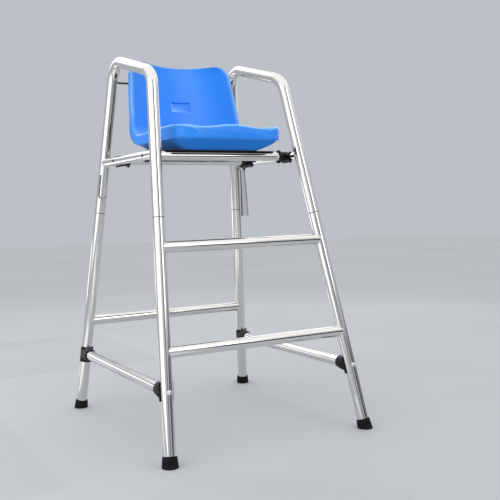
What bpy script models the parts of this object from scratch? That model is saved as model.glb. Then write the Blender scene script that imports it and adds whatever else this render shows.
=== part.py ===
"""Knock-down lifeguard chair of polished steel tube with a moulded bucket seat.

Two bent side hoops stand on a ladder front and a rear frame. Seat rails, held by saddle
connectors, carry the seat. Metres, +Z up, the front faces -Y, and the origin lies on the
floor at the middle of the four feet.
"""
import math

import bmesh
import bpy
from mathutils import Matrix, Vector

# Clearances
GAP = 0.0003                # between pieces that touch
SLIDE_FIT = 0.0006          # radial play of a piece pushed into a tube
STRAP_FIT = 0.0008          # radial play of the strap's loop on its rail

# Lines of the frame: tube axes, and their corners before bending
FOOT_SPREAD = 0.760         # between the left and right leg axes on the floor
FOOT_DEPTH = 0.900          # between the front and rear leg axes on the floor
RAIL_SPREAD = 0.581         # between the left and right leg axes at the seat rails
RAIL_Z = 0.988
FRONT_CORNER_Y = -0.132
FRONT_CORNER_Z = 1.277
REAR_CORNER_Y = 0.251
REAR_CORNER_Z = 1.380
FRONT_BEND = 0.085          # bend radius of the tube's axis
REAR_BEND = 0.070
FRONT_SEAM_Z = 0.773        # where the hoop meets the lower front leg
REAR_SEAM_Z = 0.794

# Tubes
LEG_OD = 0.041
LEG_WALL = 0.0015
RUNG_OD = 0.039
RUNG_WALL = 0.0015
BAR_OD = 0.039
BAR_WALL = 0.0015
RAIL_OD = 0.032
RAIL_WALL = 0.0015
SPIGOT_WALL = 0.002
SPIGOT_LENGTH = 0.160

# Heights and places of the cross pieces
UPPER_RUNG_Z = 0.676
LOWER_RUNG_Z = 0.343
REAR_RUNG_Z = 0.360
BAR_Z = 0.225
FRONT_RAIL_Y = -0.124
REAR_RAIL_Y = 0.168
TIE_ROD_Z = 1.297
TIE_ROD_OD = 0.008

# Rubber feet
FOOT_HEIGHT = 0.034
FOOT_TOP_OD = 0.047
FOOT_SOLE_OD = 0.054
FOOT_FLOOR = 0.012          # rubber below the end of the leg, along its axis

# Saddle connectors
SADDLE_LENGTH = 0.060
BAR_SADDLE_WALL = 0.005
RAIL_SADDLE_WALL = 0.0055
BAR_SADDLE_WRAP = -0.001    # how far a saddle passes the middle of the tube it grips
RAIL_SADDLE_WRAP = -0.005
RAIL_SADDLE_DROP = 0.002    # of a rail saddle below its tube, which makes it thicker underneath
SOCKET_FLOOR = 0.012        # solid end of a socket, which holds the bolt's thread
BAR_SOCKET_LIP = 0.0035
BAR_SOCKET_ROOT = 0.0090    # thickness of the socket where it meets the saddle
BAR_SOCKET_DEPTH = 0.026
RAIL_SOCKET_LIP = 0.009
RAIL_SOCKET_RIM = 0.003     # length of the straight rim at the mouth
RAIL_SOCKET_WAIST = 0.0035
RAIL_SOCKET_DEPTH = 0.017

# Fasteners
BAR_BOLT_R = 0.004
BAR_HEAD_R = 0.0085
BAR_HEAD_HEIGHT = 0.007
RAIL_BOLT_R = 0.003
RAIL_HEAD_R = 0.0055
RAIL_HEAD_HEIGHT = 0.0035
BOLT_COVER = 0.002          # socket floor left past the end of a bolt
PLATE_SCREW_R = 0.0025
PLATE_SCREW_HEAD_R = 0.0045
PLATE_SCREW_LENGTH = 0.012
PLATE_SCREW_X = 0.120
SEAT_BOLT_R = 0.003
SEAT_BOLT_HEAD_R = 0.0065
SEAT_BOLT_HEAD_HEIGHT = 0.0045
SEAT_BOLT_LENGTH = 0.018
SEAT_BOLT_X = 0.100
SEAT_BOLT_Y = (-0.060, 0.060)

# Seat and the plate under it
PLATE_SIDE_GAP = 0.024      # between the plate and the connectors beside it
PLATE_THICKNESS = 0.004
PLATE_OVERHANG = 0.012      # past the front and rear rail axes
SEAT_FRONT_Y = -0.229
SEAT_RIM_HEIGHT = 0.083     # of the rim above the seat's base
SEAT_LIP = 0.049            # height of the front and side faces
SEAT_FRONT_HALF = 0.2145
SEAT_FRONT_CORNER = 0.070   # radius of the front corners, seen from above
SEAT_REAR_HALF = 0.235
SEAT_TOP_HALF = 0.214
SEAT_BASE_HALF = 0.153
SEAT_BASE_SETBACK = 0.099   # of the base behind the front face
SEAT_CORNER_Y = 0.139       # where the rim line turns up into the back
SEAT_BEND = 0.045
BACK_LEAN = math.radians(12)
BACK_LENGTH = 0.290         # of the back from the turn, along its slope
BACK_THICKNESS = 0.020
BACK_CORNER = 0.052         # radius of the back's top corners
BACK_TAPER = 1.5            # power of the back's narrowing towards its top
CROWN_TUCK = 0.7            # share of the back's half thickness rounded off at its top
LIP_FADE = 0.5              # share of the turn after which the side faces thin into the back's rim
PAN_DISH = 0.018
BACK_DISH = 0.0435
LIP_WAVE = 0.0048           # half height of the wave of the thigh troughs along the front lip
LIP_TROUGH_X = 0.118        # from the middle of the seat to the troughs
LIP_EDGE_RISE = 1.5         # rise from the troughs to the sides, in half wave heights
WAVE_LENGTH = 0.255         # how far the wave runs back from the lip
SIDE_DIP = 0.011            # of the side rims at the turn, below the front corners
DIP_START = 0.120           # behind the front face, where the side rims start to fall
EDGE_ROUND = 0.010
LIP_UNDER = 0.3             # share of that rounding along the lip's lower edge
EDGE_SQUARENESS = 0.5       # power that flattens the rounded sides
EDGE_ANGLES = (50, 18, -18, -50)
SEAT_WALL = 0.0040
VENT_R = 0.0045
VENT_X = 0.0525
VENT_SETBACK = 0.020        # of the vent hole behind the front face
RECESS_WIDTH = 0.082
RECESS_HEIGHT = 0.040
RECESS_DEPTH = 0.0025
RECESS_ALONG_BACK = 0.125   # middle of the recess above the turn, along the back's slope

# Hook on the rear left leg
HOOK_WIRE_R = 0.0025
HOOK_TOP_Z = 0.943
HOOK_LOW_Z = 0.866
HOOK_RADIUS = 0.014
HOOK_TIP = 0.018            # straight end past the bend
HOOK_BEND = math.radians(135)
HOOK_FACING = math.radians(49)   # from the front towards the outside of the leg

# Webbing strap that hangs on the right seat rail
STRAP_WIDTH = 0.032
STRAP_PLY = 0.002
STRAP_CLEARANCE = 0.0255    # behind the rear right connector
STRAP_LENGTH = 0.224        # from the rail's axis to the cut end
STRAP_TWIST = math.radians(32)

# Counts
SHARP_ANGLE = math.radians(35)
TUBE_RESOLUTION = 8         # 20 sides on a tube
WIRE_RESOLUTION = 2
ROUND_SIDES = 22
SMALL_SIDES = 10            # on fasteners and their holes
DOME_STEPS = 4
BEND_STEPS = 6
SEAT_COLUMNS = 16           # facets across the seat
HOLLOW_COLUMNS = 8
NOSE_STEPS = 3
LIP_STEPS = 5
PAN_STEPS = 4
TURN_STEPS = 5
BACK_STEPS = 3
CROWN_STEPS = 7
STRAP_STEPS = 8
MERGE = 0.00005

LEFT, RIGHT = -1, 1
FRONT, REAR = -1, 1
SIDE_NAME = {LEFT: "left", RIGHT: "right"}
END_NAME = {FRONT: "front", REAR: "rear"}
LEAN_IN = (FOOT_SPREAD - RAIL_SPREAD) / 2 / RAIL_Z
RAIL_TOP = RAIL_Z + RAIL_OD / 2
PLATE_Z = RAIL_TOP + GAP
SEAT_BASE_Z = PLATE_Z + PLATE_THICKNESS + GAP
SEAT_RIM_Z = SEAT_BASE_Z + SEAT_RIM_HEIGHT


# Scene, collections and materials

for leftover in list(bpy.data.objects):
    bpy.data.objects.remove(leftover)


def collection(name):
    """New collection in the scene."""
    made = bpy.data.collections.new(name)
    bpy.context.scene.collection.children.link(made)
    return made


PARTS = collection("lifeguard_chair")
CUTTERS = collection("cutters")


def material(name, colour, roughness, metallic):
    """Plain surface with the piece's colour and shine."""
    made = bpy.data.materials.new(name)
    made.use_nodes = True
    surface = made.node_tree.nodes["Principled BSDF"]
    surface.inputs["Base Color"].default_value = (*colour, 1)
    surface.inputs["Roughness"].default_value = roughness
    surface.inputs["Metallic"].default_value = metallic
    return made


STEEL = material("polished_steel", (0.80, 0.81, 0.82), 0.14, 1)
BLACK = material("black_plastic", (0.012, 0.012, 0.013), 0.35, 0)
RUBBER = material("black_rubber", (0.014, 0.014, 0.014), 0.75, 0)
BLUE = material("blue_plastic", (0.040, 0.215, 0.870), 0.32, 0)
DARK = material("dark_steel", (0.060, 0.062, 0.066), 0.40, 1)
WEBBING = material("grey_webbing", (0.400, 0.400, 0.410), 0.80, 0)


# Modelling helpers

def mesh_object(name, bm, home, surface=None):
    """Smooth shaded object from a bmesh; a piece in the cutter collection is only a guide."""
    mesh = bpy.data.meshes.new(name)
    bm.to_mesh(mesh)
    bm.free()
    mesh.shade_smooth()
    mesh.set_sharp_from_angle(angle=SHARP_ANGLE)
    obj = bpy.data.objects.new(name, mesh)
    home.objects.link(obj)
    if surface:
        mesh.materials.append(surface)
    if home is CUTTERS:
        obj.hide_render = True
        obj.display_type = "WIRE"
    return obj


def place(obj, start, direction):
    """Origin at a point, local Z along a direction."""
    turn = direction.to_track_quat("Z", "Y").to_matrix().to_4x4()
    obj.matrix_world = Matrix.Translation(start) @ turn


def boolean(obj, other, operation="DIFFERENCE"):
    """Cut, join or trim an object with another."""
    step = obj.modifiers.new(other.name, "BOOLEAN")
    step.operation = operation
    step.object = other
    step.solver = "EXACT"


def rod(name, start, end, radius, home=CUTTERS, surface=None, end_radius=None, sides=ROUND_SIDES):
    """Solid round bar or cone between two points."""
    span = end - start
    bm = bmesh.new()
    bmesh.ops.create_cone(
        bm, cap_ends=True, segments=sides, radius1=radius,
        radius2=radius if end_radius is None else end_radius,
        depth=span.length, matrix=Matrix.Translation((0, 0, span.length / 2)))
    obj = mesh_object(name, bm, home, surface)
    place(obj, start, span)
    return obj


def turned(name, profile, start, direction, home, surface=None, sides=ROUND_SIDES):
    """Solid of revolution from (radius, height) points, from its top to its bottom."""
    bm = bmesh.new()
    points = [bm.verts.new((radius, 0, height)) for radius, height in profile]
    for upper, lower in zip(points, points[1:]):
        bm.edges.new((upper, lower))
    obj = mesh_object(name, bm, home, surface)
    spin = obj.modifiers.new("spin", "SCREW")
    spin.steps = sides
    spin.render_steps = sides
    spin.use_merge_vertices = True
    spin.merge_threshold = MERGE
    place(obj, start, direction)
    return obj


def block(name, low, high, frame, home=CUTTERS, surface=None):
    """Box between two corners, given in a frame's own axes."""
    bm = bmesh.new()
    size = Vector(high) - Vector(low)
    middle = (Vector(high) + Vector(low)) / 2
    bmesh.ops.create_cube(bm, size=1, matrix=Matrix.LocRotScale(middle, None, size))
    obj = mesh_object(name, bm, home, surface)
    obj.matrix_world = frame
    return obj


def swept(name, points, radius, resolution, capped):
    """Mesh of a round section swept along points; the origin is the first point."""
    curve = bpy.data.curves.new(name, "CURVE")
    curve.dimensions = "3D"
    curve.bevel_depth = radius
    curve.bevel_resolution = resolution
    curve.use_fill_caps = capped
    spline = curve.splines.new("POLY")
    spline.points.add(len(points) - 1)
    for target, point in zip(spline.points, points):
        target.co = (*(point - points[0]), 1)
    guide = bpy.data.objects.new(name, curve)
    guide.location = points[0]
    CUTTERS.objects.link(guide)
    bpy.context.view_layer.update()
    evaluated = guide.evaluated_get(bpy.context.evaluated_depsgraph_get())
    mesh = bpy.data.meshes.new_from_object(evaluated)
    bm = bmesh.new()
    bm.from_mesh(mesh)
    bmesh.ops.remove_doubles(bm, verts=bm.verts, dist=MERGE)
    bpy.data.meshes.remove(mesh)
    place_at = guide.matrix_world.copy()
    bpy.data.objects.remove(guide)
    bpy.data.curves.remove(curve)
    return bm, place_at


def tube(name, points, outer, wall, surface=STEEL):
    """Hollow round tube along a path, open at both ends."""
    bm, place_at = swept(name, points, outer / 2, TUBE_RESOLUTION, False)
    obj = mesh_object(name, bm, PARTS, surface)
    obj.matrix_world = place_at
    shell = obj.modifiers.new("wall", "SOLIDIFY")
    shell.thickness = wall
    shell.offset = -1
    shell.use_even_offset = True
    return obj


def rounded_path(points, radii):
    """Straight runs between points, with an arc of the given radius at each inner point."""
    path = [points[0]]
    for before, corner, after, radius in zip(points, points[1:], points[2:], radii):
        back = (before - corner).normalized()
        ahead = (after - corner).normalized()
        half_angle = back.angle(ahead) / 2
        centre = corner + (back + ahead).normalized() * radius / math.sin(half_angle)
        first = corner + back * radius / math.tan(half_angle) - centre
        last = corner + ahead * radius / math.tan(half_angle) - centre
        axis = first.cross(last)
        for step in range(BEND_STEPS + 1):
            spin = Matrix.Rotation(first.angle(last) * step / BEND_STEPS, 3, axis)
            path.append(centre + spin @ first)
    path.append(points[-1])
    return path


# Lines of the frame

LEG_CORNER = {FRONT: (FRONT_CORNER_Y, FRONT_CORNER_Z), REAR: (REAR_CORNER_Y, REAR_CORNER_Z)}
LEG_SEAM_Z = {FRONT: FRONT_SEAM_Z, REAR: REAR_SEAM_Z}


def leg_point(side, end, z):
    """Point of a leg's axis at a height."""
    corner_y, corner_z = LEG_CORNER[end]
    foot_y = end * FOOT_DEPTH / 2
    y = foot_y + (corner_y - foot_y) * z / corner_z
    return Vector((side * (FOOT_SPREAD / 2 - LEAN_IN * z), y, z))


def leg_direction(side, end):
    """Unit vector up a leg's axis."""
    return (leg_point(side, end, 1) - leg_point(side, end, 0)).normalized()


LEGS = [(side, end) for side in (LEFT, RIGHT) for end in (FRONT, REAR)]
RAIL_HALF = FOOT_SPREAD / 2 - LEAN_IN * RAIL_Z
LEG_GUIDE = {}
for side, end in LEGS:
    LEG_GUIDE[side, end] = rod(
        f"{END_NAME[end]}_{SIDE_NAME[side]}_leg_space", leg_point(side, end, -LEG_OD),
        leg_point(side, end, LEG_CORNER[end][1]), LEG_OD / 2 + GAP)


# Side hoops: upper rear leg, armrest and upper front leg bent from one tube

HOOP = {}
for side in (LEFT, RIGHT):
    line = [leg_point(side, FRONT, FRONT_SEAM_Z), leg_point(side, FRONT, FRONT_CORNER_Z),
            leg_point(side, REAR, REAR_CORNER_Z), leg_point(side, REAR, REAR_SEAM_Z)]
    line[0] += leg_direction(side, FRONT) * GAP / 2
    line[-1] += leg_direction(side, REAR) * GAP / 2
    path = rounded_path(line, [FRONT_BEND, REAR_BEND])
    HOOP[side] = tube(f"{SIDE_NAME[side]}_hoop", path, LEG_OD, LEG_WALL)


# Lower legs, the spigots that join them to the hoops, and their rubber feet

LOWER_LEG = {}
FLOOR = block("below_floor", (-FOOT_SPREAD, -FOOT_DEPTH, -FOOT_SPREAD), (FOOT_SPREAD, FOOT_DEPTH, 0),
              Matrix.Identity(4))
for side, end in LEGS:
    name = f"{END_NAME[end]}_{SIDE_NAME[side]}"
    up = leg_direction(side, end)
    ground = leg_point(side, end, 0)
    seam = leg_point(side, end, LEG_SEAM_Z[end])
    tube_end = ground + up * FOOT_FLOOR
    LOWER_LEG[side, end] = tube(f"{name}_leg", [tube_end, seam - up * GAP / 2], LEG_OD, LEG_WALL)
    half_spigot = up * SPIGOT_LENGTH / 2
    tube(f"{name}_spigot", [seam - half_spigot, seam + half_spigot],
         LEG_OD - 2 * (LEG_WALL + SLIDE_FIT), SPIGOT_WALL)
    sink = FOOT_SOLE_OD / 2
    flare = (FOOT_SOLE_OD - FOOT_TOP_OD) / 2 / FOOT_HEIGHT
    foot = rod(f"{name}_foot", ground - up * sink, ground + up * FOOT_HEIGHT,
               FOOT_SOLE_OD / 2 + flare * sink, PARTS, RUBBER, FOOT_TOP_OD / 2)
    boolean(foot, FLOOR)
    boolean(foot, rod(f"{name}_foot_bore", tube_end - up * GAP, seam, LEG_OD / 2 + GAP))


# Rungs welded between the legs, coped to them

def rung(name, end, z):
    """Tube across the chair from leg to leg."""
    obj = tube(name, [leg_point(LEFT, end, z), leg_point(RIGHT, end, z)], RUNG_OD, RUNG_WALL)
    boolean(obj, LEG_GUIDE[LEFT, end])
    boolean(obj, LEG_GUIDE[RIGHT, end])


rung("front_upper_rung", FRONT, UPPER_RUNG_Z)
rung("front_lower_rung", FRONT, LOWER_RUNG_Z)
rung("rear_rung", REAR, REAR_RUNG_Z)


# Side seat rails welded inside the hoops

SIDE_RAIL = {}
RAIL_GUIDE = {}
for side in (LEFT, RIGHT):
    ends = [leg_point(side, REAR, RAIL_Z), leg_point(side, FRONT, RAIL_Z)]
    rail = tube(f"{SIDE_NAME[side]}_side_rail", ends, RAIL_OD, RAIL_WALL)
    boolean(rail, LEG_GUIDE[side, FRONT])
    boolean(rail, LEG_GUIDE[side, REAR])
    SIDE_RAIL[side] = rail
    RAIL_GUIDE[side] = rod(f"{SIDE_NAME[side]}_side_rail_space", *ends, RAIL_OD / 2 + GAP)


# Saddle connectors: a half sleeve on one tube with a socket for the end of another

def saddle_connector(name, at, post, post_radius, bar, socket, saddle_wall, wrap, drop, post_space,
                     spaces):
    """Connector at a point of a tube (post), facing along the held tube (bar)."""
    body = turned(name, socket, at, bar, PARTS, BLACK)
    across = post.cross(bar).normalized()
    facing = across.cross(post).normalized()
    frame = Matrix((facing, across, post)).transposed().to_4x4()
    frame.translation = at
    half = post * SADDLE_LENGTH / 2
    middle = at - Vector((0, 0, drop))
    sleeve = rod(f"{name}_sleeve", middle - half, middle + half, post_radius + saddle_wall)
    mouth = socket[0][1]
    near_side = block(f"{name}_near_side", (-wrap, -SADDLE_LENGTH, -SADDLE_LENGTH),
                      (2 * mouth, SADDLE_LENGTH, SADDLE_LENGTH), frame)
    boolean(sleeve, near_side, "INTERSECT")
    boolean(body, near_side, "INTERSECT")
    boolean(body, sleeve, "UNION")
    for space in [post_space, *spaces]:
        boolean(body, space)
    return body


def dome_bolt(name, seat_at, direction, post_space, reach, shank_r, head_r, head_height, post_radius,
              surface):
    """Domed bolt whose head sits on the far side of a tube and whose shank passes through it."""
    arc = [math.pi / 2 * step / DOME_STEPS for step in range(DOME_STEPS + 1)]
    profile = [(head_r * math.sin(angle), post_radius + head_height * math.cos(angle)) for angle in arc]
    head = turned(name, [*profile, (head_r, 0), (0, 0)], seat_at, -direction, PARTS, surface, SMALL_SIDES)
    boolean(head, post_space)
    shank = rod(f"{name}_shank", seat_at - direction * (post_radius + head_height / 2),
                seat_at + direction * reach, shank_r, sides=SMALL_SIDES)
    boolean(head, shank, "UNION")


# Lower side bars between the front and rear legs

for side in (LEFT, RIGHT):
    seats = {end: leg_point(side, end, BAR_Z) for end in (FRONT, REAR)}
    run = (seats[REAR] - seats[FRONT]).normalized()
    inward = {FRONT: run, REAR: -run}
    end_gap = LEG_OD / 2 + SOCKET_FLOOR
    bar_ends = {end: seats[end] + inward[end] * end_gap / leg_direction(side, end).cross(run).length
                for end in (FRONT, REAR)}
    bar_space = rod(f"{SIDE_NAME[side]}_bar_space", bar_ends[FRONT] - run * GAP, bar_ends[REAR] + run * GAP,
                    BAR_OD / 2 + GAP)
    tube(f"{SIDE_NAME[side]}_lower_bar", [bar_ends[FRONT], bar_ends[REAR]], BAR_OD, BAR_WALL)
    for end in (FRONT, REAR):
        name = f"{END_NAME[end]}_{SIDE_NAME[side]}_bar"
        bolt_reach = end_gap - BOLT_COVER
        bolt_space = rod(f"{name}_bolt_space", seats[end] - inward[end] * LEG_OD,
                         seats[end] + inward[end] * (bolt_reach + GAP), BAR_BOLT_R + GAP, sides=SMALL_SIDES)
        mouth = end_gap + BAR_SOCKET_DEPTH
        root_r = BAR_OD / 2 + BAR_SOCKET_ROOT
        lip_r = BAR_OD / 2 + BAR_SOCKET_LIP
        saddle_connector(
            f"{name}_connector", seats[end], leg_direction(side, end), LEG_OD / 2, inward[end],
            [(0, mouth), (lip_r, mouth), (root_r, LEG_OD / 2), (root_r, 0), (0, 0)],
            BAR_SADDLE_WALL, BAR_SADDLE_WRAP, 0, LEG_GUIDE[side, end], [bar_space, bolt_space])
        boolean(LOWER_LEG[side, end], bolt_space)
        dome_bolt(f"{name}_bolt", seats[end], inward[end], LEG_GUIDE[side, end], bolt_reach,
                  BAR_BOLT_R, BAR_HEAD_R, BAR_HEAD_HEIGHT, LEG_OD / 2, STEEL)


# Front and rear seat rails between the side rails

CROSS_RAIL = {}
for end, y in ((FRONT, FRONT_RAIL_Y), (REAR, REAR_RAIL_Y)):
    half_length = RAIL_HALF - RAIL_OD / 2 - SOCKET_FLOOR
    left_end, right_end = (Vector((side * half_length, y, RAIL_Z)) for side in (LEFT, RIGHT))
    step = Vector((GAP, 0, 0))
    rail_space = rod(f"{END_NAME[end]}_rail_space", left_end - step, right_end + step, RAIL_OD / 2 + GAP)
    CROSS_RAIL[end] = tube(f"{END_NAME[end]}_rail", [left_end, right_end], RAIL_OD, RAIL_WALL)
    for side in (LEFT, RIGHT):
        name = f"{END_NAME[end]}_{SIDE_NAME[side]}_rail"
        seat_at = Vector((side * RAIL_HALF, y, RAIL_Z))
        inward = Vector((-side, 0, 0))
        root = RAIL_OD / 2 + SOCKET_FLOOR
        bolt_reach = root - BOLT_COVER
        bolt_space = rod(f"{name}_bolt_space", seat_at - inward * RAIL_OD,
                         seat_at + inward * (bolt_reach + GAP), RAIL_BOLT_R + GAP, sides=SMALL_SIDES)
        mouth = root + RAIL_SOCKET_DEPTH
        waist_r = RAIL_OD / 2 + RAIL_SOCKET_WAIST
        lip_r = RAIL_OD / 2 + RAIL_SOCKET_LIP
        saddle_connector(
            f"{name}_connector", seat_at, Vector((0, 1, 0)), RAIL_OD / 2, inward,
            [(0, mouth), (lip_r, mouth), (lip_r, mouth - RAIL_SOCKET_RIM),
             (waist_r, mouth - RAIL_SOCKET_DEPTH / 2), (waist_r, 0), (0, 0)],
            RAIL_SADDLE_WALL, RAIL_SADDLE_WRAP, RAIL_SADDLE_DROP, RAIL_GUIDE[side],
            [rail_space, bolt_space])
        boolean(SIDE_RAIL[side], bolt_space)
        dome_bolt(f"{name}_bolt", seat_at, inward, RAIL_GUIDE[side], bolt_reach,
                  RAIL_BOLT_R, RAIL_HEAD_R, RAIL_HEAD_HEIGHT, RAIL_OD / 2, DARK)


# Black plate on the cross rails, screwed to them, and the bolts that hold the seat to it

plate_half = RAIL_HALF - RAIL_OD / 2 - SOCKET_FLOOR - RAIL_SOCKET_DEPTH - PLATE_SIDE_GAP
plate = block("seat_plate", (-plate_half, FRONT_RAIL_Y - PLATE_OVERHANG, 0),
              (plate_half, REAR_RAIL_Y + PLATE_OVERHANG, PLATE_THICKNESS),
              Matrix.Translation((0, 0, PLATE_Z)), PARTS, BLACK)
plate_top = PLATE_Z + PLATE_THICKNESS


def countersunk(play):
    """Profile of a plate screw, or of its hole with some play."""
    neck = PLATE_SCREW_LENGTH - (PLATE_SCREW_HEAD_R - PLATE_SCREW_R)
    return [(0, PLATE_SCREW_LENGTH), (PLATE_SCREW_HEAD_R + play, PLATE_SCREW_LENGTH),
            (PLATE_SCREW_R + play, neck), (PLATE_SCREW_R + play, -play), (0, -play)]


for end, y in ((FRONT, FRONT_RAIL_Y), (REAR, REAR_RAIL_Y)):
    for side in (LEFT, RIGHT):
        name = f"{END_NAME[end]}_{SIDE_NAME[side]}_plate_screw"
        foot_at = Vector((side * PLATE_SCREW_X, y, plate_top - PLATE_SCREW_LENGTH))
        turned(name, countersunk(0), foot_at, Vector((0, 0, 1)), PARTS, DARK, SMALL_SIDES)
        hole = turned(f"{name}_hole", countersunk(GAP), foot_at, Vector((0, 0, 1)), CUTTERS,
                      sides=SMALL_SIDES)
        boolean(plate, hole)
        boolean(CROSS_RAIL[end], hole)

seat_bolt_spaces = []
for end, y in zip((FRONT, REAR), SEAT_BOLT_Y):
    for side in (LEFT, RIGHT):
        name = f"{END_NAME[end]}_{SIDE_NAME[side]}_seat_bolt"
        under = Vector((side * SEAT_BOLT_X, y, PLATE_Z - GAP))
        rise = Vector((0, 0, 1))
        profile = [(0, SEAT_BOLT_LENGTH), (SEAT_BOLT_R, SEAT_BOLT_LENGTH), (SEAT_BOLT_R, 0),
                   (SEAT_BOLT_HEAD_R, 0), (SEAT_BOLT_HEAD_R, -SEAT_BOLT_HEAD_HEIGHT),
                   (0, -SEAT_BOLT_HEAD_HEIGHT)]
        turned(name, profile, under, rise, PARTS, STEEL, SMALL_SIDES)
        space = rod(f"{name}_space", under, under + rise * (SEAT_BOLT_LENGTH + GAP), SEAT_BOLT_R + GAP,
                    sides=SMALL_SIDES)
        boolean(plate, space)
        seat_bolt_spaces.append(space)


# Seat: one hollow moulding, lofted from the front lip along the pan and up the back

TURN = math.pi / 2 - BACK_LEAN
BEND_RUN = SEAT_BEND * math.tan(TURN / 2)
PAN_LENGTH = SEAT_CORNER_Y - BEND_RUN - SEAT_FRONT_Y
ARC_LENGTH = SEAT_BEND * TURN
SEAT_LENGTH = PAN_LENGTH + ARC_LENGTH + BACK_LENGTH - BEND_RUN


def smooth(value):
    """Ease from 0 to 1."""
    held = min(max(value, 0), 1)
    return held * held * (3 - 2 * held)


def blend(first, second, share):
    """Value between two others."""
    return first + (second - first) * share


def rim_line(s):
    """Point of the seat's rim in side view at a distance from the front, and the way up from it."""
    if s < PAN_LENGTH:
        return Vector((0, SEAT_FRONT_Y + s, SEAT_RIM_Z)), Vector((0, 0, 1))
    angle = min((s - PAN_LENGTH) / SEAT_BEND, TURN)
    up = Vector((0, -math.sin(angle), math.cos(angle)))
    centre = Vector((0, SEAT_FRONT_Y + PAN_LENGTH, SEAT_RIM_Z + SEAT_BEND))
    along = Vector((0, math.cos(angle), math.sin(angle)))
    return centre - up * SEAT_BEND + along * max(s - PAN_LENGTH - ARC_LENGTH, 0), up


def seat_section(s, inset, columns):
    """Closed outline across the seat at a distance from its front, drawn in by an inset."""
    origin, up = rim_line(s)
    rise = smooth((s - PAN_LENGTH) / ARC_LENGTH)
    pan_share = min(s / (PAN_LENGTH + ARC_LENGTH), 1)
    back_share = max((s - PAN_LENGTH - ARC_LENGTH) / (SEAT_LENGTH - PAN_LENGTH - ARC_LENGTH), 0)
    half = blend(blend(SEAT_FRONT_HALF, SEAT_REAR_HALF, pan_share), SEAT_TOP_HALF, back_share ** BACK_TAPER)
    top_left = SEAT_LENGTH - s
    if top_left < BACK_CORNER:
        half -= BACK_CORNER - math.sqrt(max(BACK_CORNER ** 2 - (BACK_CORNER - top_left) ** 2, 0))
    nose = max(1 - s / EDGE_ROUND, 0)
    crown = max(1 - top_left / EDGE_ROUND, 0)
    tuck = inset + EDGE_ROUND * (1 - math.sqrt(1 - nose ** 2))
    under = inset + LIP_UNDER * (tuck - inset)
    thin = inset + CROWN_TUCK * BACK_THICKNESS / 2 * (1 - math.sqrt(1 - crown ** 2))
    draw = max(tuck, thin)
    draw_low = max(under, thin)
    corner = SEAT_FRONT_CORNER - inset
    short = max(SEAT_FRONT_CORNER - s, 0)
    arc = math.sqrt(max(corner ** 2 - short ** 2, 0))
    half -= max(tuck, inset + corner - arc)
    ease_out = EDGE_ROUND * arc / corner
    reach = half - ease_out
    dish = blend(PAN_DISH * smooth(s / WAVE_LENGTH), BACK_DISH, rise)
    lip = blend(SEAT_LIP, BACK_THICKNESS, smooth((s - PAN_LENGTH) / ARC_LENGTH - LIP_FADE))
    base = SEAT_RIM_HEIGHT * (1 - rise)
    wave = LIP_WAVE * (1 - smooth(s / WAVE_LENGTH))
    dip = SIDE_DIP * smooth((s - DIP_START) / (PAN_LENGTH - DIP_START)) * (1 - rise)

    def upper(u):
        across = abs(u) * reach
        inner = min(across / LIP_TROUGH_X, 1)
        outer = min(max(across - LIP_TROUGH_X, 0) / (SEAT_FRONT_HALF - EDGE_ROUND - LIP_TROUGH_X), 1)
        climb = LIP_EDGE_RISE * (1 - math.cos(math.pi * outer)) / 2
        ripple = math.cos(math.pi * inner) + climb + 1 - LIP_EDGE_RISE
        return wave * ripple - dish * (1 - u * u) - dip * u * u

    def lower(u):
        shell = lip + dish * rise * (1 - u * u)
        slope = (half - abs(u) * half) / max(half - SEAT_BASE_HALF, EDGE_ROUND)
        setback = min(s / SEAT_BASE_SETBACK, 1)
        return shell + max(base - lip, 0) * min(slope, setback, 1)

    outline = []
    for column in range(columns + 1):
        u = 2 * column / columns - 1
        outline.append((u * reach, upper(u) - draw))
    high, low = upper(1) - draw, draw_low - lower(1)
    side_face = []
    for angle in EDGE_ANGLES:
        bulge = math.cos(math.radians(angle)) ** EDGE_SQUARENESS
        lift = math.copysign(abs(math.sin(math.radians(angle))) ** EDGE_SQUARENESS, angle)
        side_face.append((reach + ease_out * bulge, (high + low) / 2 + (high - low) / 2 * lift))
    outline += side_face
    for column in range(columns + 1):
        u = 1 - 2 * column / columns
        outline.append((u * reach, draw_low - lower(u)))
    outline += [(-x, offset) for x, offset in reversed(side_face)]
    return [origin + Vector((x, 0, 0)) + up * offset for x, offset in outline]


def spread(first, last, count):
    """Even steps from one value to another, without the first."""
    return [blend(first, last, (step + 1) / count) for step in range(count)]


def seat_stations():
    """Distances along the seat, closer together round its front and top edges."""
    quarter = math.pi / 2
    turn_end = PAN_LENGTH + ARC_LENGTH
    crown = SEAT_LENGTH - BACK_CORNER
    stations = [0]
    stations += [EDGE_ROUND * (1 - math.cos(angle)) for angle in spread(0, quarter, NOSE_STEPS)]
    stations += spread(EDGE_ROUND, SEAT_BASE_SETBACK, LIP_STEPS)
    stations += spread(SEAT_BASE_SETBACK, PAN_LENGTH, PAN_STEPS)
    stations += spread(PAN_LENGTH, turn_end, TURN_STEPS)
    stations += spread(turn_end, crown, BACK_STEPS)
    stations += [crown + BACK_CORNER * math.sin(angle) for angle in spread(0, quarter, CROWN_STEPS)]
    return stations


def seat_loft(name, inset, columns, home, surface=None):
    """Closed body through the seat's outlines."""
    shrink = 1 - 2 * inset / SEAT_LENGTH
    bm = bmesh.new()
    loops = []
    for s in seat_stations():
        held = inset + s * shrink
        loops.append([bm.verts.new(point) for point in seat_section(held, inset, columns)])
    for first, second in zip(loops, loops[1:]):
        count = len(first)
        for index in range(count):
            after = (index + 1) % count
            bm.faces.new((first[index], first[after], second[after], second[index]))
    bm.faces.new(reversed(loops[0]))
    bm.faces.new(loops[-1])
    bmesh.ops.recalc_face_normals(bm, faces=bm.faces)
    return mesh_object(name, bm, home, surface)


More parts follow.
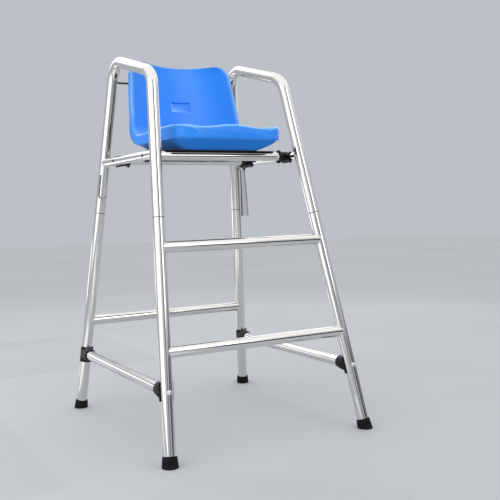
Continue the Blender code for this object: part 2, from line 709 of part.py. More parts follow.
seat = seat_loft("seat_shell", 0, SEAT_COLUMNS, PARTS, BLUE)
boolean(seat, seat_loft("seat_hollow", SEAT_WALL, HOLLOW_COLUMNS, CUTTERS))
vent_at = Vector((VENT_X, SEAT_FRONT_Y + VENT_SETBACK, SEAT_RIM_Z - SEAT_LIP / 2))
vent_foot = Vector((vent_at.x, vent_at.y, SEAT_BASE_Z))
boolean(seat, rod("seat_vent", vent_foot, vent_at, VENT_R, sides=SMALL_SIDES))
for space in seat_bolt_spaces:
    boolean(seat, space)
recess_at, recess_up = rim_line(PAN_LENGTH + ARC_LENGTH - BEND_RUN + RECESS_ALONG_BACK)
slope = Vector((0, recess_up.z, -recess_up.y))
recess_frame = Matrix((Vector((1, 0, 0)), slope, recess_up)).transposed().to_4x4()
recess_frame.translation = recess_at - recess_up * (BACK_DISH + RECESS_DEPTH)
boolean(seat, block("seat_recess", (-RECESS_WIDTH / 2, -RECESS_HEIGHT / 2, 0),
                    (RECESS_WIDTH / 2, RECESS_HEIGHT / 2, BACK_DISH), recess_frame))


# Tie rod behind the back, let into the inner walls of both hoops

rod_ends = [leg_point(side, REAR, TIE_ROD_Z) for side in (LEFT, RIGHT)]
rod("back_tie_rod", *rod_ends, TIE_ROD_OD / 2, PARTS, DARK, sides=SMALL_SIDES)
rod_space = rod("tie_rod_space", *rod_ends, TIE_ROD_OD / 2 + GAP, sides=SMALL_SIDES)
for side in (LEFT, RIGHT):
    boolean(HOOP[side], rod_space)


# Wire hook welded to the rear left leg

outward = Vector((-math.sin(HOOK_FACING), -math.cos(HOOK_FACING), 0))
hook_up = leg_direction(LEFT, REAR)
outward = (outward - hook_up * outward.dot(hook_up)).normalized()
sideways = hook_up.cross(outward)
stand_off = outward * (LEG_OD / 2 + GAP + HOOK_WIRE_R)
hook_top = leg_point(LEFT, REAR, HOOK_TOP_Z) + stand_off
hook_low = leg_point(LEFT, REAR, HOOK_LOW_Z) + stand_off
bend_centre = hook_low + sideways * HOOK_RADIUS
hook_path = [hook_top]
for step in range(BEND_STEPS + 1):
    angle = HOOK_BEND * step / BEND_STEPS
    spoke = sideways * math.cos(angle) + hook_up * math.sin(angle)
    hook_path.append(bend_centre - spoke * HOOK_RADIUS)
tip_way = sideways * math.sin(HOOK_BEND) - hook_up * math.cos(HOOK_BEND)
hook_path.append(hook_path[-1] + tip_way * HOOK_TIP)
hook_mesh, hook_place = swept("j_hook", hook_path, HOOK_WIRE_R, WIRE_RESOLUTION, True)
mesh_object("j_hook", hook_mesh, PARTS, STEEL).matrix_world = hook_place


# Webbing strap looped on the right side rail, free to swing about it; its tail turns about its rear edge

strap_y = REAR_RAIL_Y + SADDLE_LENGTH / 2 + STRAP_CLEARANCE + STRAP_WIDTH / 2
strap_axis = Vector((RAIL_HALF, strap_y, RAIL_Z))
half_width = Vector((0, STRAP_WIDTH / 2, 0))
loop_r = RAIL_OD / 2 + STRAP_FIT
strap = rod("hanging_strap", strap_axis - half_width, strap_axis + half_width, loop_r + STRAP_PLY,
            PARTS, WEBBING)
tail_top = loop_r + STRAP_PLY / 2
tail_length = STRAP_LENGTH - tail_top
bm = bmesh.new()
bmesh.ops.create_cube(bm, size=1, matrix=Matrix.LocRotScale(
    (0, -STRAP_WIDTH / 2, -tail_top - tail_length / 2), None, (2 * STRAP_PLY, STRAP_WIDTH, tail_length)))
upright = [edge for edge in bm.edges if edge.verts[0].co.z != edge.verts[1].co.z]
bmesh.ops.subdivide_edges(bm, edges=upright, cuts=STRAP_STEPS - 1, use_grid_fill=True)
tail = mesh_object("strap_tail", bm, CUTTERS)
tail.location = strap_axis + half_width
twist = tail.modifiers.new("twist", "SIMPLE_DEFORM")
twist.deform_method = "TWIST"
twist.deform_axis = "Z"
twist.angle = -STRAP_TWIST
boolean(strap, tail, "UNION")
boolean(strap, rod("strap_loop_space", strap_axis - half_width * 2, strap_axis + half_width * 2, loop_r))
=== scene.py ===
import math

import bmesh
import bpy
from mathutils import Matrix, Vector


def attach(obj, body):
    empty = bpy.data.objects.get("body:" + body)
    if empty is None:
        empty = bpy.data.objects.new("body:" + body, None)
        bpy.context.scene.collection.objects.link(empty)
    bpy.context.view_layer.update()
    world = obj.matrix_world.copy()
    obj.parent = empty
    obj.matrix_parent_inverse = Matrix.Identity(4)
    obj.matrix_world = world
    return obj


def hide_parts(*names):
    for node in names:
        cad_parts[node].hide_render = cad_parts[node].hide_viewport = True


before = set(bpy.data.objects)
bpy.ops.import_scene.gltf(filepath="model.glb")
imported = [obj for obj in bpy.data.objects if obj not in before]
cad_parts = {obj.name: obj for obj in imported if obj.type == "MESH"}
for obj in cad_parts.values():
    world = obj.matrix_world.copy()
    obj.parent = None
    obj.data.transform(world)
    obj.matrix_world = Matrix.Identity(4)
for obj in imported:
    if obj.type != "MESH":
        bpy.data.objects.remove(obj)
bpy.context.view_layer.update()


# Studio: a pale floor under a soft pale surround, with soft lamps at the left, the right and the rear.
# Boards that show only in reflections give the tubes their streaks: dark ones stand round the chair and
# under the seat's lip, and pale ones lie on the floor. The camera stands low, left of the chair's front.

def new_finish(name):
    """Material with its node tree and its Principled shader."""
    finish = bpy.data.materials.new(name)
    finish.use_nodes = True
    tree = finish.node_tree
    return finish, tree, tree.nodes["Principled BSDF"]


NOISE_RANGE = (0.3, 0.7)


def grain(tree, place, scale, low, high, detail=3.0, roughness=0.5):
    """Noise over a surface, spread from one value or colour to another."""
    noise = tree.nodes.new("ShaderNodeTexNoise")
    noise.inputs["Scale"].default_value = scale
    noise.inputs["Detail"].default_value = detail
    noise.inputs["Roughness"].default_value = roughness
    tree.links.new(place, noise.inputs["Vector"])
    ramp = tree.nodes.new("ShaderNodeValToRGB")
    for element, position, value in zip(ramp.color_ramp.elements, NOISE_RANGE, (low, high)):
        element.position = position
        element.color = (*value, 1) if hasattr(value, "__len__") else (value, value, value, 1)
    tree.links.new(noise.outputs["Fac"], ramp.inputs["Fac"])
    return ramp.outputs["Color"]


def coordinates(tree, kind, stretch=(1, 1, 1)):
    """A surface's own coordinates, stretched along its axes."""
    source = tree.nodes.new("ShaderNodeTexCoord")
    mapping = tree.nodes.new("ShaderNodeMapping")
    mapping.inputs["Scale"].default_value = stretch
    tree.links.new(source.outputs[kind], mapping.inputs["Vector"])
    return mapping.outputs["Vector"]


def mottle(tree, shader, socket, place, scale, low, high, detail=3.0, roughness=0.5):
    """Noise over a surface that varies one of its finish's inputs."""
    tree.links.new(grain(tree, place, scale, low, high, detail, roughness), shader.inputs[socket])


FLOOR_RADIUS = 16.0
FLOOR_SIDES = 128
bm = bmesh.new()
bmesh.ops.create_circle(bm, cap_ends=True, segments=FLOOR_SIDES, radius=FLOOR_RADIUS)
floor_mesh = bpy.data.meshes.new("studio_floor")
bm.to_mesh(floor_mesh)
bm.free()
floor = bpy.data.objects.new("studio_floor", floor_mesh)
bpy.context.scene.collection.objects.link(floor)
pale_floor, tree, shader = new_finish("pale_floor")
wide = coordinates(tree, "Object")
mottle(tree, shader, "Base Color", wide, scale=0.8, low=(0.405, 0.425, 0.45), high=(0.435, 0.455, 0.48))
shader.inputs["Roughness"].default_value = 0.75
floor_mesh.materials.append(pale_floor)

surround = bpy.data.worlds.new("soft_surround")
surround.use_nodes = True
bpy.context.scene.world = surround
tree = surround.node_tree
sky = tree.nodes.new("ShaderNodeTexCoord")
height = tree.nodes.new("ShaderNodeSeparateXYZ")
fade = tree.nodes.new("ShaderNodeValToRGB")
fade.color_ramp.elements[0].color = (0.42, 0.44, 0.475, 1)
fade.color_ramp.elements[0].position = 0.26
fade.color_ramp.elements[1].color = (1.0, 1.0, 1.0, 1)
fade.color_ramp.elements[1].position = 0.62
tree.links.new(sky.outputs["Generated"], height.inputs["Vector"])
tree.links.new(height.outputs["Z"], fade.inputs["Fac"])
tree.links.new(fade.outputs["Color"], tree.nodes["Background"].inputs["Color"])
tree.nodes["Background"].inputs["Strength"].default_value = 1.2

CHAIR_MIDDLE = Vector((0, 0, 0.8))


def from_chair(bearing, rise, distance):
    """Point at a bearing (from +X, counter-clockwise), a rise above level and a distance from the chair."""
    across = math.cos(math.radians(rise)) * distance
    bearing = math.radians(bearing)
    lift = math.sin(math.radians(rise)) * distance
    return CHAIR_MIDDLE + Vector((math.cos(bearing) * across, math.sin(bearing) * across, lift))


def soft_lamp(name, bearing, rise, distance, width, height, watts):
    """Large rectangular lamp that faces the chair."""
    lamp = bpy.data.lights.new(name, "AREA")
    lamp.shape = "RECTANGLE"
    lamp.size = width
    lamp.size_y = height
    lamp.energy = watts
    holder = bpy.data.objects.new(name, lamp)
    holder.location = from_chair(bearing, rise, distance)
    holder.rotation_euler = (holder.location - CHAIR_MIDDLE).to_track_quat("Z", "Y").to_euler()
    holder.visible_camera = False
    bpy.context.scene.collection.objects.link(holder)


soft_lamp("left_lamp", bearing=196, rise=16, distance=2.3, width=2.7, height=2.3, watts=20)
soft_lamp("right_lamp", bearing=291, rise=27, distance=4.0, width=1.2, height=2.2, watts=14)
soft_lamp("rear_lamp", bearing=94, rise=36, distance=4.0, width=2.6, height=2.3, watts=21)
soft_lamp("low_lamp", bearing=113, rise=-7, distance=2.2, width=1.4, height=0.36, watts=2.0)
soft_lamp("rim_lamp", bearing=42, rise=20, distance=4.0, width=1.6, height=1.3, watts=9)


BOARD_DARKEST = 0.9


def board_finish(name, shade):
    """Even matt paint for a board."""
    paint, tree, shader = new_finish(name)
    wide = coordinates(tree, "Object")
    mottle(tree, shader, "Base Color", wide, scale=6, low=BOARD_DARKEST * shade, high=shade)
    shader.inputs["Roughness"].default_value = 0.9
    return paint


def reflector(name, finish, middle, facing, width, height, turn=0):
    """Flat board that shows only in reflections."""
    bm = bmesh.new()
    bmesh.ops.create_grid(bm, x_segments=1, y_segments=1, size=0.5,
                          matrix=Matrix.Diagonal((width, height, 1, 1)))
    board_mesh = bpy.data.meshes.new(name)
    bm.to_mesh(board_mesh)
    bm.free()
    board_mesh.materials.append(finish)
    board = bpy.data.objects.new(name, board_mesh)
    board.location = middle
    board.rotation_euler = facing.to_track_quat("Z", "Y").to_euler()
    board.rotation_euler.rotate_axis("Z", math.radians(turn))
    board.visible_camera = False
    board.visible_diffuse = False
    board.visible_shadow = False
    bpy.context.scene.collection.objects.link(board)


def standing_board(name, finish, bearing, rise, distance, width, height):
    """Board that stands off from the chair and faces it."""
    middle = from_chair(bearing, rise, distance)
    reflector(name, finish, middle, CHAIR_MIDDLE - middle, width, height)


def floor_board(name, finish, x, y, width, height, turn=0):
    """Board that lies just above the floor."""
    reflector(name, finish, Vector((x, y, FLOOR_BOARD_Z)), Vector((0, 0, 1)), width, height, turn)


FLOOR_BOARD_Z = 0.002
LIP_BOARD_AT = Vector((0, -0.18, 1.0225))
LIP_BOARD_FACING = Vector((0, -0.324, -0.946))
grey_board = board_finish("grey_board", shade=0.24)
black_board = board_finish("black_board", shade=0.03)
white_board = board_finish("white_board", shade=0.9)
standing_board("front_board", grey_board, bearing=264, rise=22, distance=5, width=1.3, height=5.6)
standing_board("rung_board", black_board, bearing=300, rise=-3, distance=4, width=1.2, height=1.2)
standing_board("low_board", grey_board, bearing=335, rise=-4, distance=4, width=4.0, height=1.05)
floor_board("front_floor_board", white_board, x=-0.85, y=-1.42, width=2.0, height=0.7, turn=42)
floor_board("rear_floor_board", white_board, x=-0.35, y=1.75, width=1.3, height=1.1)
floor_board("left_floor_board", white_board, x=-1.2, y=0.15, width=1.0, height=1.2)
# The black lip board is a painted reflection of shade: it stands for the seat's shaded underside in the front
# rail's reflection, as the seat stays out of reflections.
reflector("lip_board", black_board, LIP_BOARD_AT, LIP_BOARD_FACING, width=0.39, height=0.088)

VIEW_AZIMUTH = math.radians(-29.62)
VIEW_ELEVATION = math.radians(3.151)
VIEW_ROLL = math.radians(-1.554)
VIEW_FROM = Vector((-1.3255, -2.6505, 0.8008))
LENS = 56.14
back = Vector((math.sin(VIEW_AZIMUTH) * math.cos(VIEW_ELEVATION),
               -math.cos(VIEW_AZIMUTH) * math.cos(VIEW_ELEVATION), math.sin(VIEW_ELEVATION)))
level = Vector((math.cos(VIEW_AZIMUTH), math.sin(VIEW_AZIMUTH), 0))
upright = back.cross(level)
right = level * math.cos(VIEW_ROLL) + upright * math.sin(VIEW_ROLL)
up = upright * math.cos(VIEW_ROLL) - level * math.sin(VIEW_ROLL)
eye = bpy.data.cameras.new("camera")
eye.sensor_width = 36
eye.lens = LENS
camera = bpy.data.objects.new("camera", eye)
stand = Matrix((right, up, back)).transposed().to_4x4()
stand.translation = VIEW_FROM
camera.matrix_world = stand
bpy.context.scene.collection.objects.link(camera)
bpy.context.scene.camera = camera
bpy.context.scene.view_settings.view_transform = "Standard"


# Lower legs: four straight lengths of polished stainless tube that lean in to the seat. Each is cut
# square, eased at its ends, and slides over a spigot of the same steel inside the joint to its hoop.

LEFT, RIGHT = -1, 1
FRONT, REAR = -1, 1
SIDE_NAME = {LEFT: "left", RIGHT: "right"}
END_NAME = {FRONT: "front", REAR: "rear"}
CORNERS = [(side, end) for side in (LEFT, RIGHT) for end in (FRONT, REAR)]
FOOT_SPREAD = 0.760
FOOT_DEPTH = 0.900
RAIL_SPREAD = 0.581
RAIL_Z = 0.988
LEG_CORNER = {FRONT: (-0.132, 1.277), REAR: (0.251, 1.380)}
LEG_SEAM_Z = {FRONT: 0.773, REAR: 0.794}
LEG_R = 0.0205
TUBE_WALL = 0.0015
TUBE_SIDES = 56
TUBE_EASE = 0.0012
JOINT_GAP = 0.0003
FOOT_FLOOR = 0.012
LEAN_IN = (FOOT_SPREAD - RAIL_SPREAD) / 2 / RAIL_Z


def leg_point(side, end, z):
    """Point of a leg's axis at a height."""
    corner_y, corner_z = LEG_CORNER[end]
    foot_y = end * FOOT_DEPTH / 2
    return Vector((side * (FOOT_SPREAD / 2 - LEAN_IN * z), foot_y + (corner_y - foot_y) * z / corner_z, z))


def leg_way(side, end):
    """Unit vector up a leg's axis."""
    return (leg_point(side, end, 1) - leg_point(side, end, 0)).normalized()


def raise_grain(tree, shader, height, depth):
    """Bump that follows a height, in metres."""
    bump = tree.nodes.new("ShaderNodeBump")
    bump.inputs["Strength"].default_value = 1.0
    bump.inputs["Distance"].default_value = depth
    tree.links.new(height, bump.inputs["Height"])
    tree.links.new(bump.outputs["Normal"], shader.inputs["Normal"])


polished_steel, tree, shader = new_finish("polished_stainless")
rubbed = coordinates(tree, "UV", stretch=(3, 900, 1))
smudged = coordinates(tree, "Object")
shader.inputs["Metallic"].default_value = 1.0
mottle(tree, shader, "Base Color", smudged, scale=5, low=(0.725, 0.715, 0.695), high=(0.765, 0.755, 0.735))
mottle(tree, shader, "Roughness", smudged, scale=60, low=0.095, high=0.125, detail=5.0, roughness=0.6)
raise_grain(tree, shader, grain(tree, rubbed, scale=1, low=0.0, high=1.0, detail=2.0), depth=0.0000008)

sawn_steel, tree, shader = new_finish("sawn_steel")
shader.inputs["Metallic"].default_value = 1.0
close = coordinates(tree, "Object")
mottle(tree, shader, "Base Color", close, scale=400, low=(0.24, 0.23, 0.22), high=(0.36, 0.35, 0.34))
shader.inputs["Roughness"].default_value = 0.5


def path_frames(path):
    """Tangent and two cross directions at each point of a path, turning as little as possible."""
    frames = []
    across = None
    for index in range(len(path)):
        tangent = (path[min(index + 1, len(path) - 1)] - path[max(index - 1, 0)]).normalized()
        start = tangent.orthogonal() if across is None else across
        across = (start - tangent * start.dot(tangent)).normalized()
        frames.append((tangent, across, tangent.cross(across)))
    return frames


def cope(point, way, leg):
    """Point moved along a tube to where it meets the round of a leg."""
    axis_at, axis, radius = leg
    offset = point - axis_at
    offset -= axis * offset.dot(axis)
    flat_way = way - axis * way.dot(axis)
    half_b = offset.dot(flat_way)
    root = math.sqrt(half_b ** 2 - flat_way.length_squared * (offset.length_squared - radius ** 2))
    return point + way * (-half_b - root) / flat_way.length_squared


def round_of(middle, across, over, radius, sides):
    """Points evenly round a middle, in the plane of two directions."""
    turns = [math.tau * step / sides for step in range(sides)]
    return [middle + (across * math.cos(turn) + over * math.sin(turn)) * radius for turn in turns]


def skin(bm, rings, closed, places=None):
    """Quads between rings of points. Their texture goes once round a ring, or by given places, and along
    the rings in metres."""
    layer = bm.loops.layers.uv.verify()
    made = [[bm.verts.new(point) for point in ring] for ring in rings]
    count = len(rings[0])
    around = places or [index / count for index in range(count + 1)]
    run = 0.0
    pairs = list(zip(made, made[1:] + made[:1])) if closed else list(zip(made, made[1:]))
    for first, second in pairs:
        reach = run + (second[0].co - first[0].co).length
        for index in range(count):
            after = (index + 1) % count
            face = bm.faces.new((first[index], first[after], second[after], second[index]))
            near = around[index]
            far = around[index + 1]
            for loop, spot in zip(face.loops, ((near, run), (far, run), (far, reach), (near, reach))):
                loop[layer].uv = spot
        run = reach
    return made


def tube_mesh(path, radius, start_leg=None, end_leg=None):
    """Hollow tube along a path; an end is eased, or shaped to the leg that it meets."""
    frames = path_frames(path)
    clear = 2 * LEG_R

    def ring(index, size, shift=0.0, leg=None):
        """Points round the tube at a point of its path, shaped to a leg if one is given."""
        tangent, across, over = frames[index]
        points = round_of(path[index] + tangent * shift, across, over, size, TUBE_SIDES)
        if leg:
            way = tangent if index else -tangent
            points = [cope(point, way, leg) for point in points]
        return points

    last = len(path) - 1
    if start_leg:
        rings = [ring(0, radius, 0, start_leg), ring(0, radius, clear)]
    else:
        rings = [ring(0, radius - TUBE_EASE), ring(0, radius, TUBE_EASE)]
    rings += [ring(index, radius) for index in range(1, last)]
    if end_leg:
        rings += [ring(last, radius, -clear), ring(last, radius, 0, end_leg)]
    else:
        rings += [ring(last, radius, -TUBE_EASE), ring(last, radius - TUBE_EASE)]
    bore = radius - TUBE_WALL
    rings.append(ring(last, bore, 0, end_leg))
    rings += [ring(index, bore) for index in range(last - 1, 0, -1)]
    rings.append(ring(0, bore, 0, start_leg))
    bm = bmesh.new()
    skin(bm, rings, True)
    bm.faces.ensure_lookup_table()
    cuts = ([] if end_leg else [last + 1, last + 2]) + ([] if start_leg else [0, len(rings) - 1])
    for band in cuts:
        for face in bm.faces[band * TUBE_SIDES:(band + 1) * TUBE_SIDES]:
            face.material_index = 1
    bmesh.ops.recalc_face_normals(bm, faces=bm.faces)
    return bm


def set_in_place(name, bm, finish, slot, *nodes, body="frame", crease=35):
    """Finished piece that stands for solids of the frame and moves with a body."""
    mesh = bpy.data.meshes.new(name)
    bm.to_mesh(mesh)
    bm.free()
    mesh.shade_smooth()
    mesh.set_sharp_from_angle(angle=math.radians(crease))
    for surface in finish if isinstance(finish, tuple) else (finish,):
        mesh.materials.append(surface)
    piece = bpy.data.objects.new(name, mesh)
    bpy.context.scene.collection.objects.link(piece)
    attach(piece, body)
    if nodes:
        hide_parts(*nodes)
    return piece


def sawn_tube(name, path, radius):
    """Polished tube along a path, with plain sawn ends."""
    finish = (polished_steel, sawn_steel)
    set_in_place(f"{name}_tube", tube_mesh(path, radius), finish, "polished_steel", name)


for side, end in CORNERS:
    name = f"{END_NAME[end]}_{SIDE_NAME[side]}"
    way = leg_way(side, end)
    foot = leg_point(side, end, 0) + way * FOOT_FLOOR
    seam = leg_point(side, end, LEG_SEAM_Z[end]) - way * JOINT_GAP / 2
    sawn_tube(f"{name}_leg", [foot, seam], LEG_R)
    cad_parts[f"{name}_spigot"].data.materials.clear()
    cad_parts[f"{name}_spigot"].data.materials.append(polished_steel)


# Side hoops: the upper front leg, the armrest and the upper rear leg of a side, bent cold from one
# length of the same tube and polished with it.

BEND_RADIUS = {FRONT: 0.085, REAR: 0.070}
BEND_STEPS = 26


def rounded_path(points, radii, steps):
    """Straight runs between points, with an arc of the given radius at each inner point."""
    path = [points[0]]
    for before, corner, after, radius in zip(points, points[1:], points[2:], radii):
        back_way = (before - corner).normalized()
        ahead = (after - corner).normalized()
        half_angle = back_way.angle(ahead) / 2
        centre = corner + (back_way + ahead).normalized() * radius / math.sin(half_angle)
        first = corner + back_way * radius / math.tan(half_angle) - centre
        last = corner + ahead * radius / math.tan(half_angle) - centre
        axis = first.cross(last)
        for step in range(steps + 1):
            path.append(centre + Matrix.Rotation(first.angle(last) * step / steps, 3, axis) @ first)
    path.append(points[-1])
    return path


for side in (LEFT, RIGHT):
    line = [leg_point(side, FRONT, LEG_SEAM_Z[FRONT]) + leg_way(side, FRONT) * JOINT_GAP / 2,
            leg_point(side, FRONT, LEG_CORNER[FRONT][1]),
            leg_point(side, REAR, LEG_CORNER[REAR][1]),
            leg_point(side, REAR, LEG_SEAM_Z[REAR]) + leg_way(side, REAR) * JOINT_GAP / 2]
    path = rounded_path(line, [BEND_RADIUS[FRONT], BEND_RADIUS[REAR]], BEND_STEPS)
    sawn_tube(f"{SIDE_NAME[side]}_hoop", path, LEG_R)


# Rungs: two treads across the front and a tie across the back, of the same polished tube. Their ends
# are shaped to the legs and welded all round with a small, brushed bead.

RUNG_R = 0.0195
RUNGS = {"front_upper_rung": (FRONT, 0.676), "front_lower_rung": (FRONT, 0.343), "rear_rung": (REAR, 0.360)}
BEAD_R = 0.0016
BEAD_SIDES = 8
BEAD_STEPS = 72
BEAD_RIPPLES = 30
BEAD_RIPPLE = 0.10
BEAD_CREASE = 80

weld_steel, tree, shader = new_finish("brushed_weld")
shader.inputs["Metallic"].default_value = 1.0
close = coordinates(tree, "Object")
mottle(tree, shader, "Base Color", close, scale=90, low=(0.62, 0.61, 0.60), high=(0.80, 0.80, 0.80))
mottle(tree, shader, "Roughness", close, scale=300, low=0.22, high=0.38)


def weld_bead(name, middle, way, radius, leg):
    """Rippled bead round the end of a tube, where it meets the round of a leg."""
    axis_at, axis, _ = leg
    across = way.orthogonal().normalized()
    over = way.cross(across)
    edge = [cope(point, way, leg) for point in round_of(middle, across, over, radius, BEAD_STEPS)]
    rings = []
    for step, point in enumerate(edge):
        run = (edge[(step + 1) % BEAD_STEPS] - edge[step - 1]).normalized()
        outward = point - axis_at
        outward -= axis * outward.dot(axis)
        outward = (outward - run * outward.dot(run)).normalized()
        aside = run.cross(outward)
        size = BEAD_R * (1 + BEAD_RIPPLE * math.cos(math.tau * BEAD_RIPPLES * step / BEAD_STEPS))
        rings.append(round_of(point, outward, aside, size, BEAD_SIDES))
    bm = bmesh.new()
    skin(bm, rings, True)
    bmesh.ops.recalc_face_normals(bm, faces=bm.faces)
    set_in_place(name, bm, weld_steel, "polished_steel", crease=BEAD_CREASE)


def welded_tube(name, radius, points, ways):
    """Polished tube between two legs, with its ends shaped to them."""
    first, last = ((point, way, LEG_R) for point, way in zip(points, ways))
    tube = tube_mesh(points, radius, first, last)
    set_in_place(f"{name}_tube", tube, polished_steel, "polished_steel", name)
    return first, last


for name, (end, z) in RUNGS.items():
    points = [leg_point(side, end, z) for side in (LEFT, RIGHT)]
    ways = [leg_way(side, end) for side in (LEFT, RIGHT)]
    legs = welded_tube(name, RUNG_R, points, ways)
    for side, point, leg in zip((LEFT, RIGHT), points, legs):
        weld_bead(f"{name}_{SIDE_NAME[side]}_weld", point, Vector((side, 0, 0)), RUNG_R, leg)


# Side seat rails: a thinner polished tube inside each hoop at seat height, shaped to the hoop's legs
# and welded like the rungs.

RAIL_R = 0.016
RAIL_HALF = FOOT_SPREAD / 2 - LEAN_IN * RAIL_Z
for side in (LEFT, RIGHT):
    name = f"{SIDE_NAME[side]}_side_rail"
    points = [leg_point(side, end, RAIL_Z) for end in (FRONT, REAR)]
    ways = [leg_way(side, end) for end in (FRONT, REAR)]
    legs = welded_tube(name, RAIL_R, points, ways)
    for end, point, leg in zip((FRONT, REAR), points, legs):
        weld_bead(f"{name}_{END_NAME[end]}_weld", point, Vector((0, end, 0)), RAIL_R, leg)


# Feet: pushed-on caps of black rubber, a little wider at the sole, with an eased top edge, a shallow
# groove above the sole and a flat face on the floor although the legs lean.

FOOT_HEIGHT = 0.034
FOOT_TOP_R = 0.0235
FOOT_SOLE_R = 0.027
FOOT_EASE = 0.0014
FOOT_EASE_MIDDLE = 0.3 * FOOT_EASE
FOOT_GROOVE = 0.0007
FOOT_GROOVE_Z = 0.0085
FOOT_GROOVE_HALF = 0.0012
FOOT_SIDES = 64

black_rubber, tree, shader = new_finish("black_rubber")
close = coordinates(tree, "Object")
mottle(tree, shader, "Base Color", close, scale=45, low=(0.004, 0.004, 0.005), high=(0.010, 0.010, 0.011))
shader.inputs["Specular IOR Level"].default_value = 0.12
mottle(tree, shader, "Roughness", close, scale=180, low=0.55, high=0.72)
raise_grain(tree, shader, grain(tree, close, scale=700, low=0.0, high=1.0), depth=0.00006)

for side, end in CORNERS:
    name = f"{END_NAME[end]}_{SIDE_NAME[side]}_foot"
    way = leg_way(side, end)
    ground = leg_point(side, end, 0)
    across = way.orthogonal().normalized()
    over = way.cross(across)
    bore = LEG_R + JOINT_GAP
    flare = (FOOT_SOLE_R - FOOT_TOP_R) / FOOT_HEIGHT
    groove_r = FOOT_SOLE_R - flare * FOOT_GROOVE_Z
    outline = [(FOOT_SOLE_R - FOOT_EASE, 0), (FOOT_SOLE_R, FOOT_EASE),
               (groove_r, FOOT_GROOVE_Z - FOOT_GROOVE_HALF), (groove_r - FOOT_GROOVE, FOOT_GROOVE_Z),
               (groove_r, FOOT_GROOVE_Z + FOOT_GROOVE_HALF),
               (FOOT_TOP_R + flare * FOOT_EASE, FOOT_HEIGHT - FOOT_EASE),
               (FOOT_TOP_R - FOOT_EASE_MIDDLE, FOOT_HEIGHT - FOOT_EASE_MIDDLE),
               (FOOT_TOP_R - FOOT_EASE, FOOT_HEIGHT), (bore, FOOT_HEIGHT), (bore, FOOT_FLOOR - JOINT_GAP)]
    rings = []
    for radius, height in outline:
        share = 1 - min(height / FOOT_FLOOR, 1)
        spokes = round_of(Vector(), across, over, radius, FOOT_SIDES)
        rings.append([ground + spoke + way * (height - share * spoke.z / way.z) for spoke in spokes])
    bm = bmesh.new()
    made = skin(bm, rings, False)
    bm.faces.new(made[0])
    bm.faces.new(made[-1])
    bmesh.ops.recalc_face_normals(bm, faces=bm.faces)
    set_in_place(f"{name}_cap", bm, black_rubber, "black_rubber", name)


# Lower side bars: two polished tubes that tie the front legs to the rear ones near the floor. Their
# ends push into the sockets of black nylon connectors.

BAR_Z = 0.225
BAR_R = 0.0195
SOCKET_FLOOR = 0.012
end_gap = LEG_R + SOCKET_FLOOR
bar_seats = {(side, end): leg_point(side, end, BAR_Z) for side, end in CORNERS}
bar_inward = {}
for side in (LEFT, RIGHT):
    run = (bar_seats[side, REAR] - bar_seats[side, FRONT]).normalized()
    bar_inward[side, FRONT] = run
    bar_inward[side, REAR] = -run
    bar_ends = [bar_seats[side, end] + bar_inward[side, end] * end_gap / leg_way(side, end).cross(run).length
                for end in (FRONT, REAR)]
    sawn_tube(f"{SIDE_NAME[side]}_lower_bar", bar_ends, BAR_R)


# Lower bar connectors: black moulded nylon, each with half a sleeve that lies on the leg and a short
# tapered socket for the bar, with edges eased by the mould.

SADDLE_LENGTH = 0.060
BAR_SADDLE_WALL = 0.005
BAR_SADDLE_WRAP = -0.003
BAR_SOCKET_LIP = 0.0035
BAR_SOCKET_ROOT = 0.0090
BAR_SOCKET_DEPTH = 0.026
BAR_SOCKET_HEEL = 0.004
MOULD_EASE = 0.0008
MOULD_SIDES = 72
MOULD_CREASE = 50
MOULD_FLAT = math.radians(0.5)
MOULD_EDGE = math.radians(40)

black_nylon, tree, shader = new_finish("black_nylon")
close = coordinates(tree, "Object")
mottle(tree, shader, "Base Color", close, scale=30, low=(0.004, 0.004, 0.005), high=(0.008, 0.008, 0.009))
shader.inputs["Specular IOR Level"].default_value = 0.2
mottle(tree, shader, "Roughness", close, scale=160, low=0.30, high=0.46)
raise_grain(tree, shader, grain(tree, close, scale=1100, low=0.0, high=1.0), depth=0.00004)


def plain_bar(radius, low, high):
    """Outline of a plain round bar, for turning."""
    return [(0, high), (radius, high), (radius, low), (0, low)]


def turned_mesh(profile, at, axis, sides):
    """Solid of revolution from (radius, height) points along an axis."""
    bm = bmesh.new()
    points = [bm.verts.new((radius, 0, height)) for radius, height in profile]
    edges = [bm.edges.new(pair) for pair in zip(points, points[1:])]
    bmesh.ops.spin(bm, geom=points + edges, axis=(0, 0, 1), cent=(0, 0, 0), angle=math.tau, steps=sides,
                   use_merge=True)
    bmesh.ops.remove_doubles(bm, verts=bm.verts, dist=0.000001)
    bmesh.ops.recalc_face_normals(bm, faces=bm.faces)
    turn = axis.to_track_quat("Z", "Y").to_matrix().to_4x4()
    bmesh.ops.transform(bm, matrix=Matrix.Translation(at) @ turn, verts=bm.verts)
    return bm


def former(name, bm):
    """Shape used only to make another."""
    mesh = bpy.data.meshes.new(name)
    bm.to_mesh(mesh)
    bm.free()
    made = bpy.data.objects.new(name, mesh)
    bpy.context.scene.collection.objects.link(made)
    return made


def carve(shape, other, operation):
    """Shape cut by, trimmed by or joined to another, which is used up."""
    step = shape.modifiers.new("carve", "BOOLEAN")
    step.operation = operation
    step.solver = "EXACT"
    step.object = other
    bpy.context.view_layer.update()
    result = bpy.data.meshes.new_from_object(shape.evaluated_get(bpy.context.evaluated_depsgraph_get()))
    shape.modifiers.clear()
    shape.data = result
    bpy.data.objects.remove(other)


def bar_of(at, way, length_back, length_ahead, radius):
    """Plain round bar through a point."""
    outline = plain_bar(radius, -length_back, length_ahead)
    return former("bar_form", turned_mesh(outline, at, way, MOULD_SIDES))


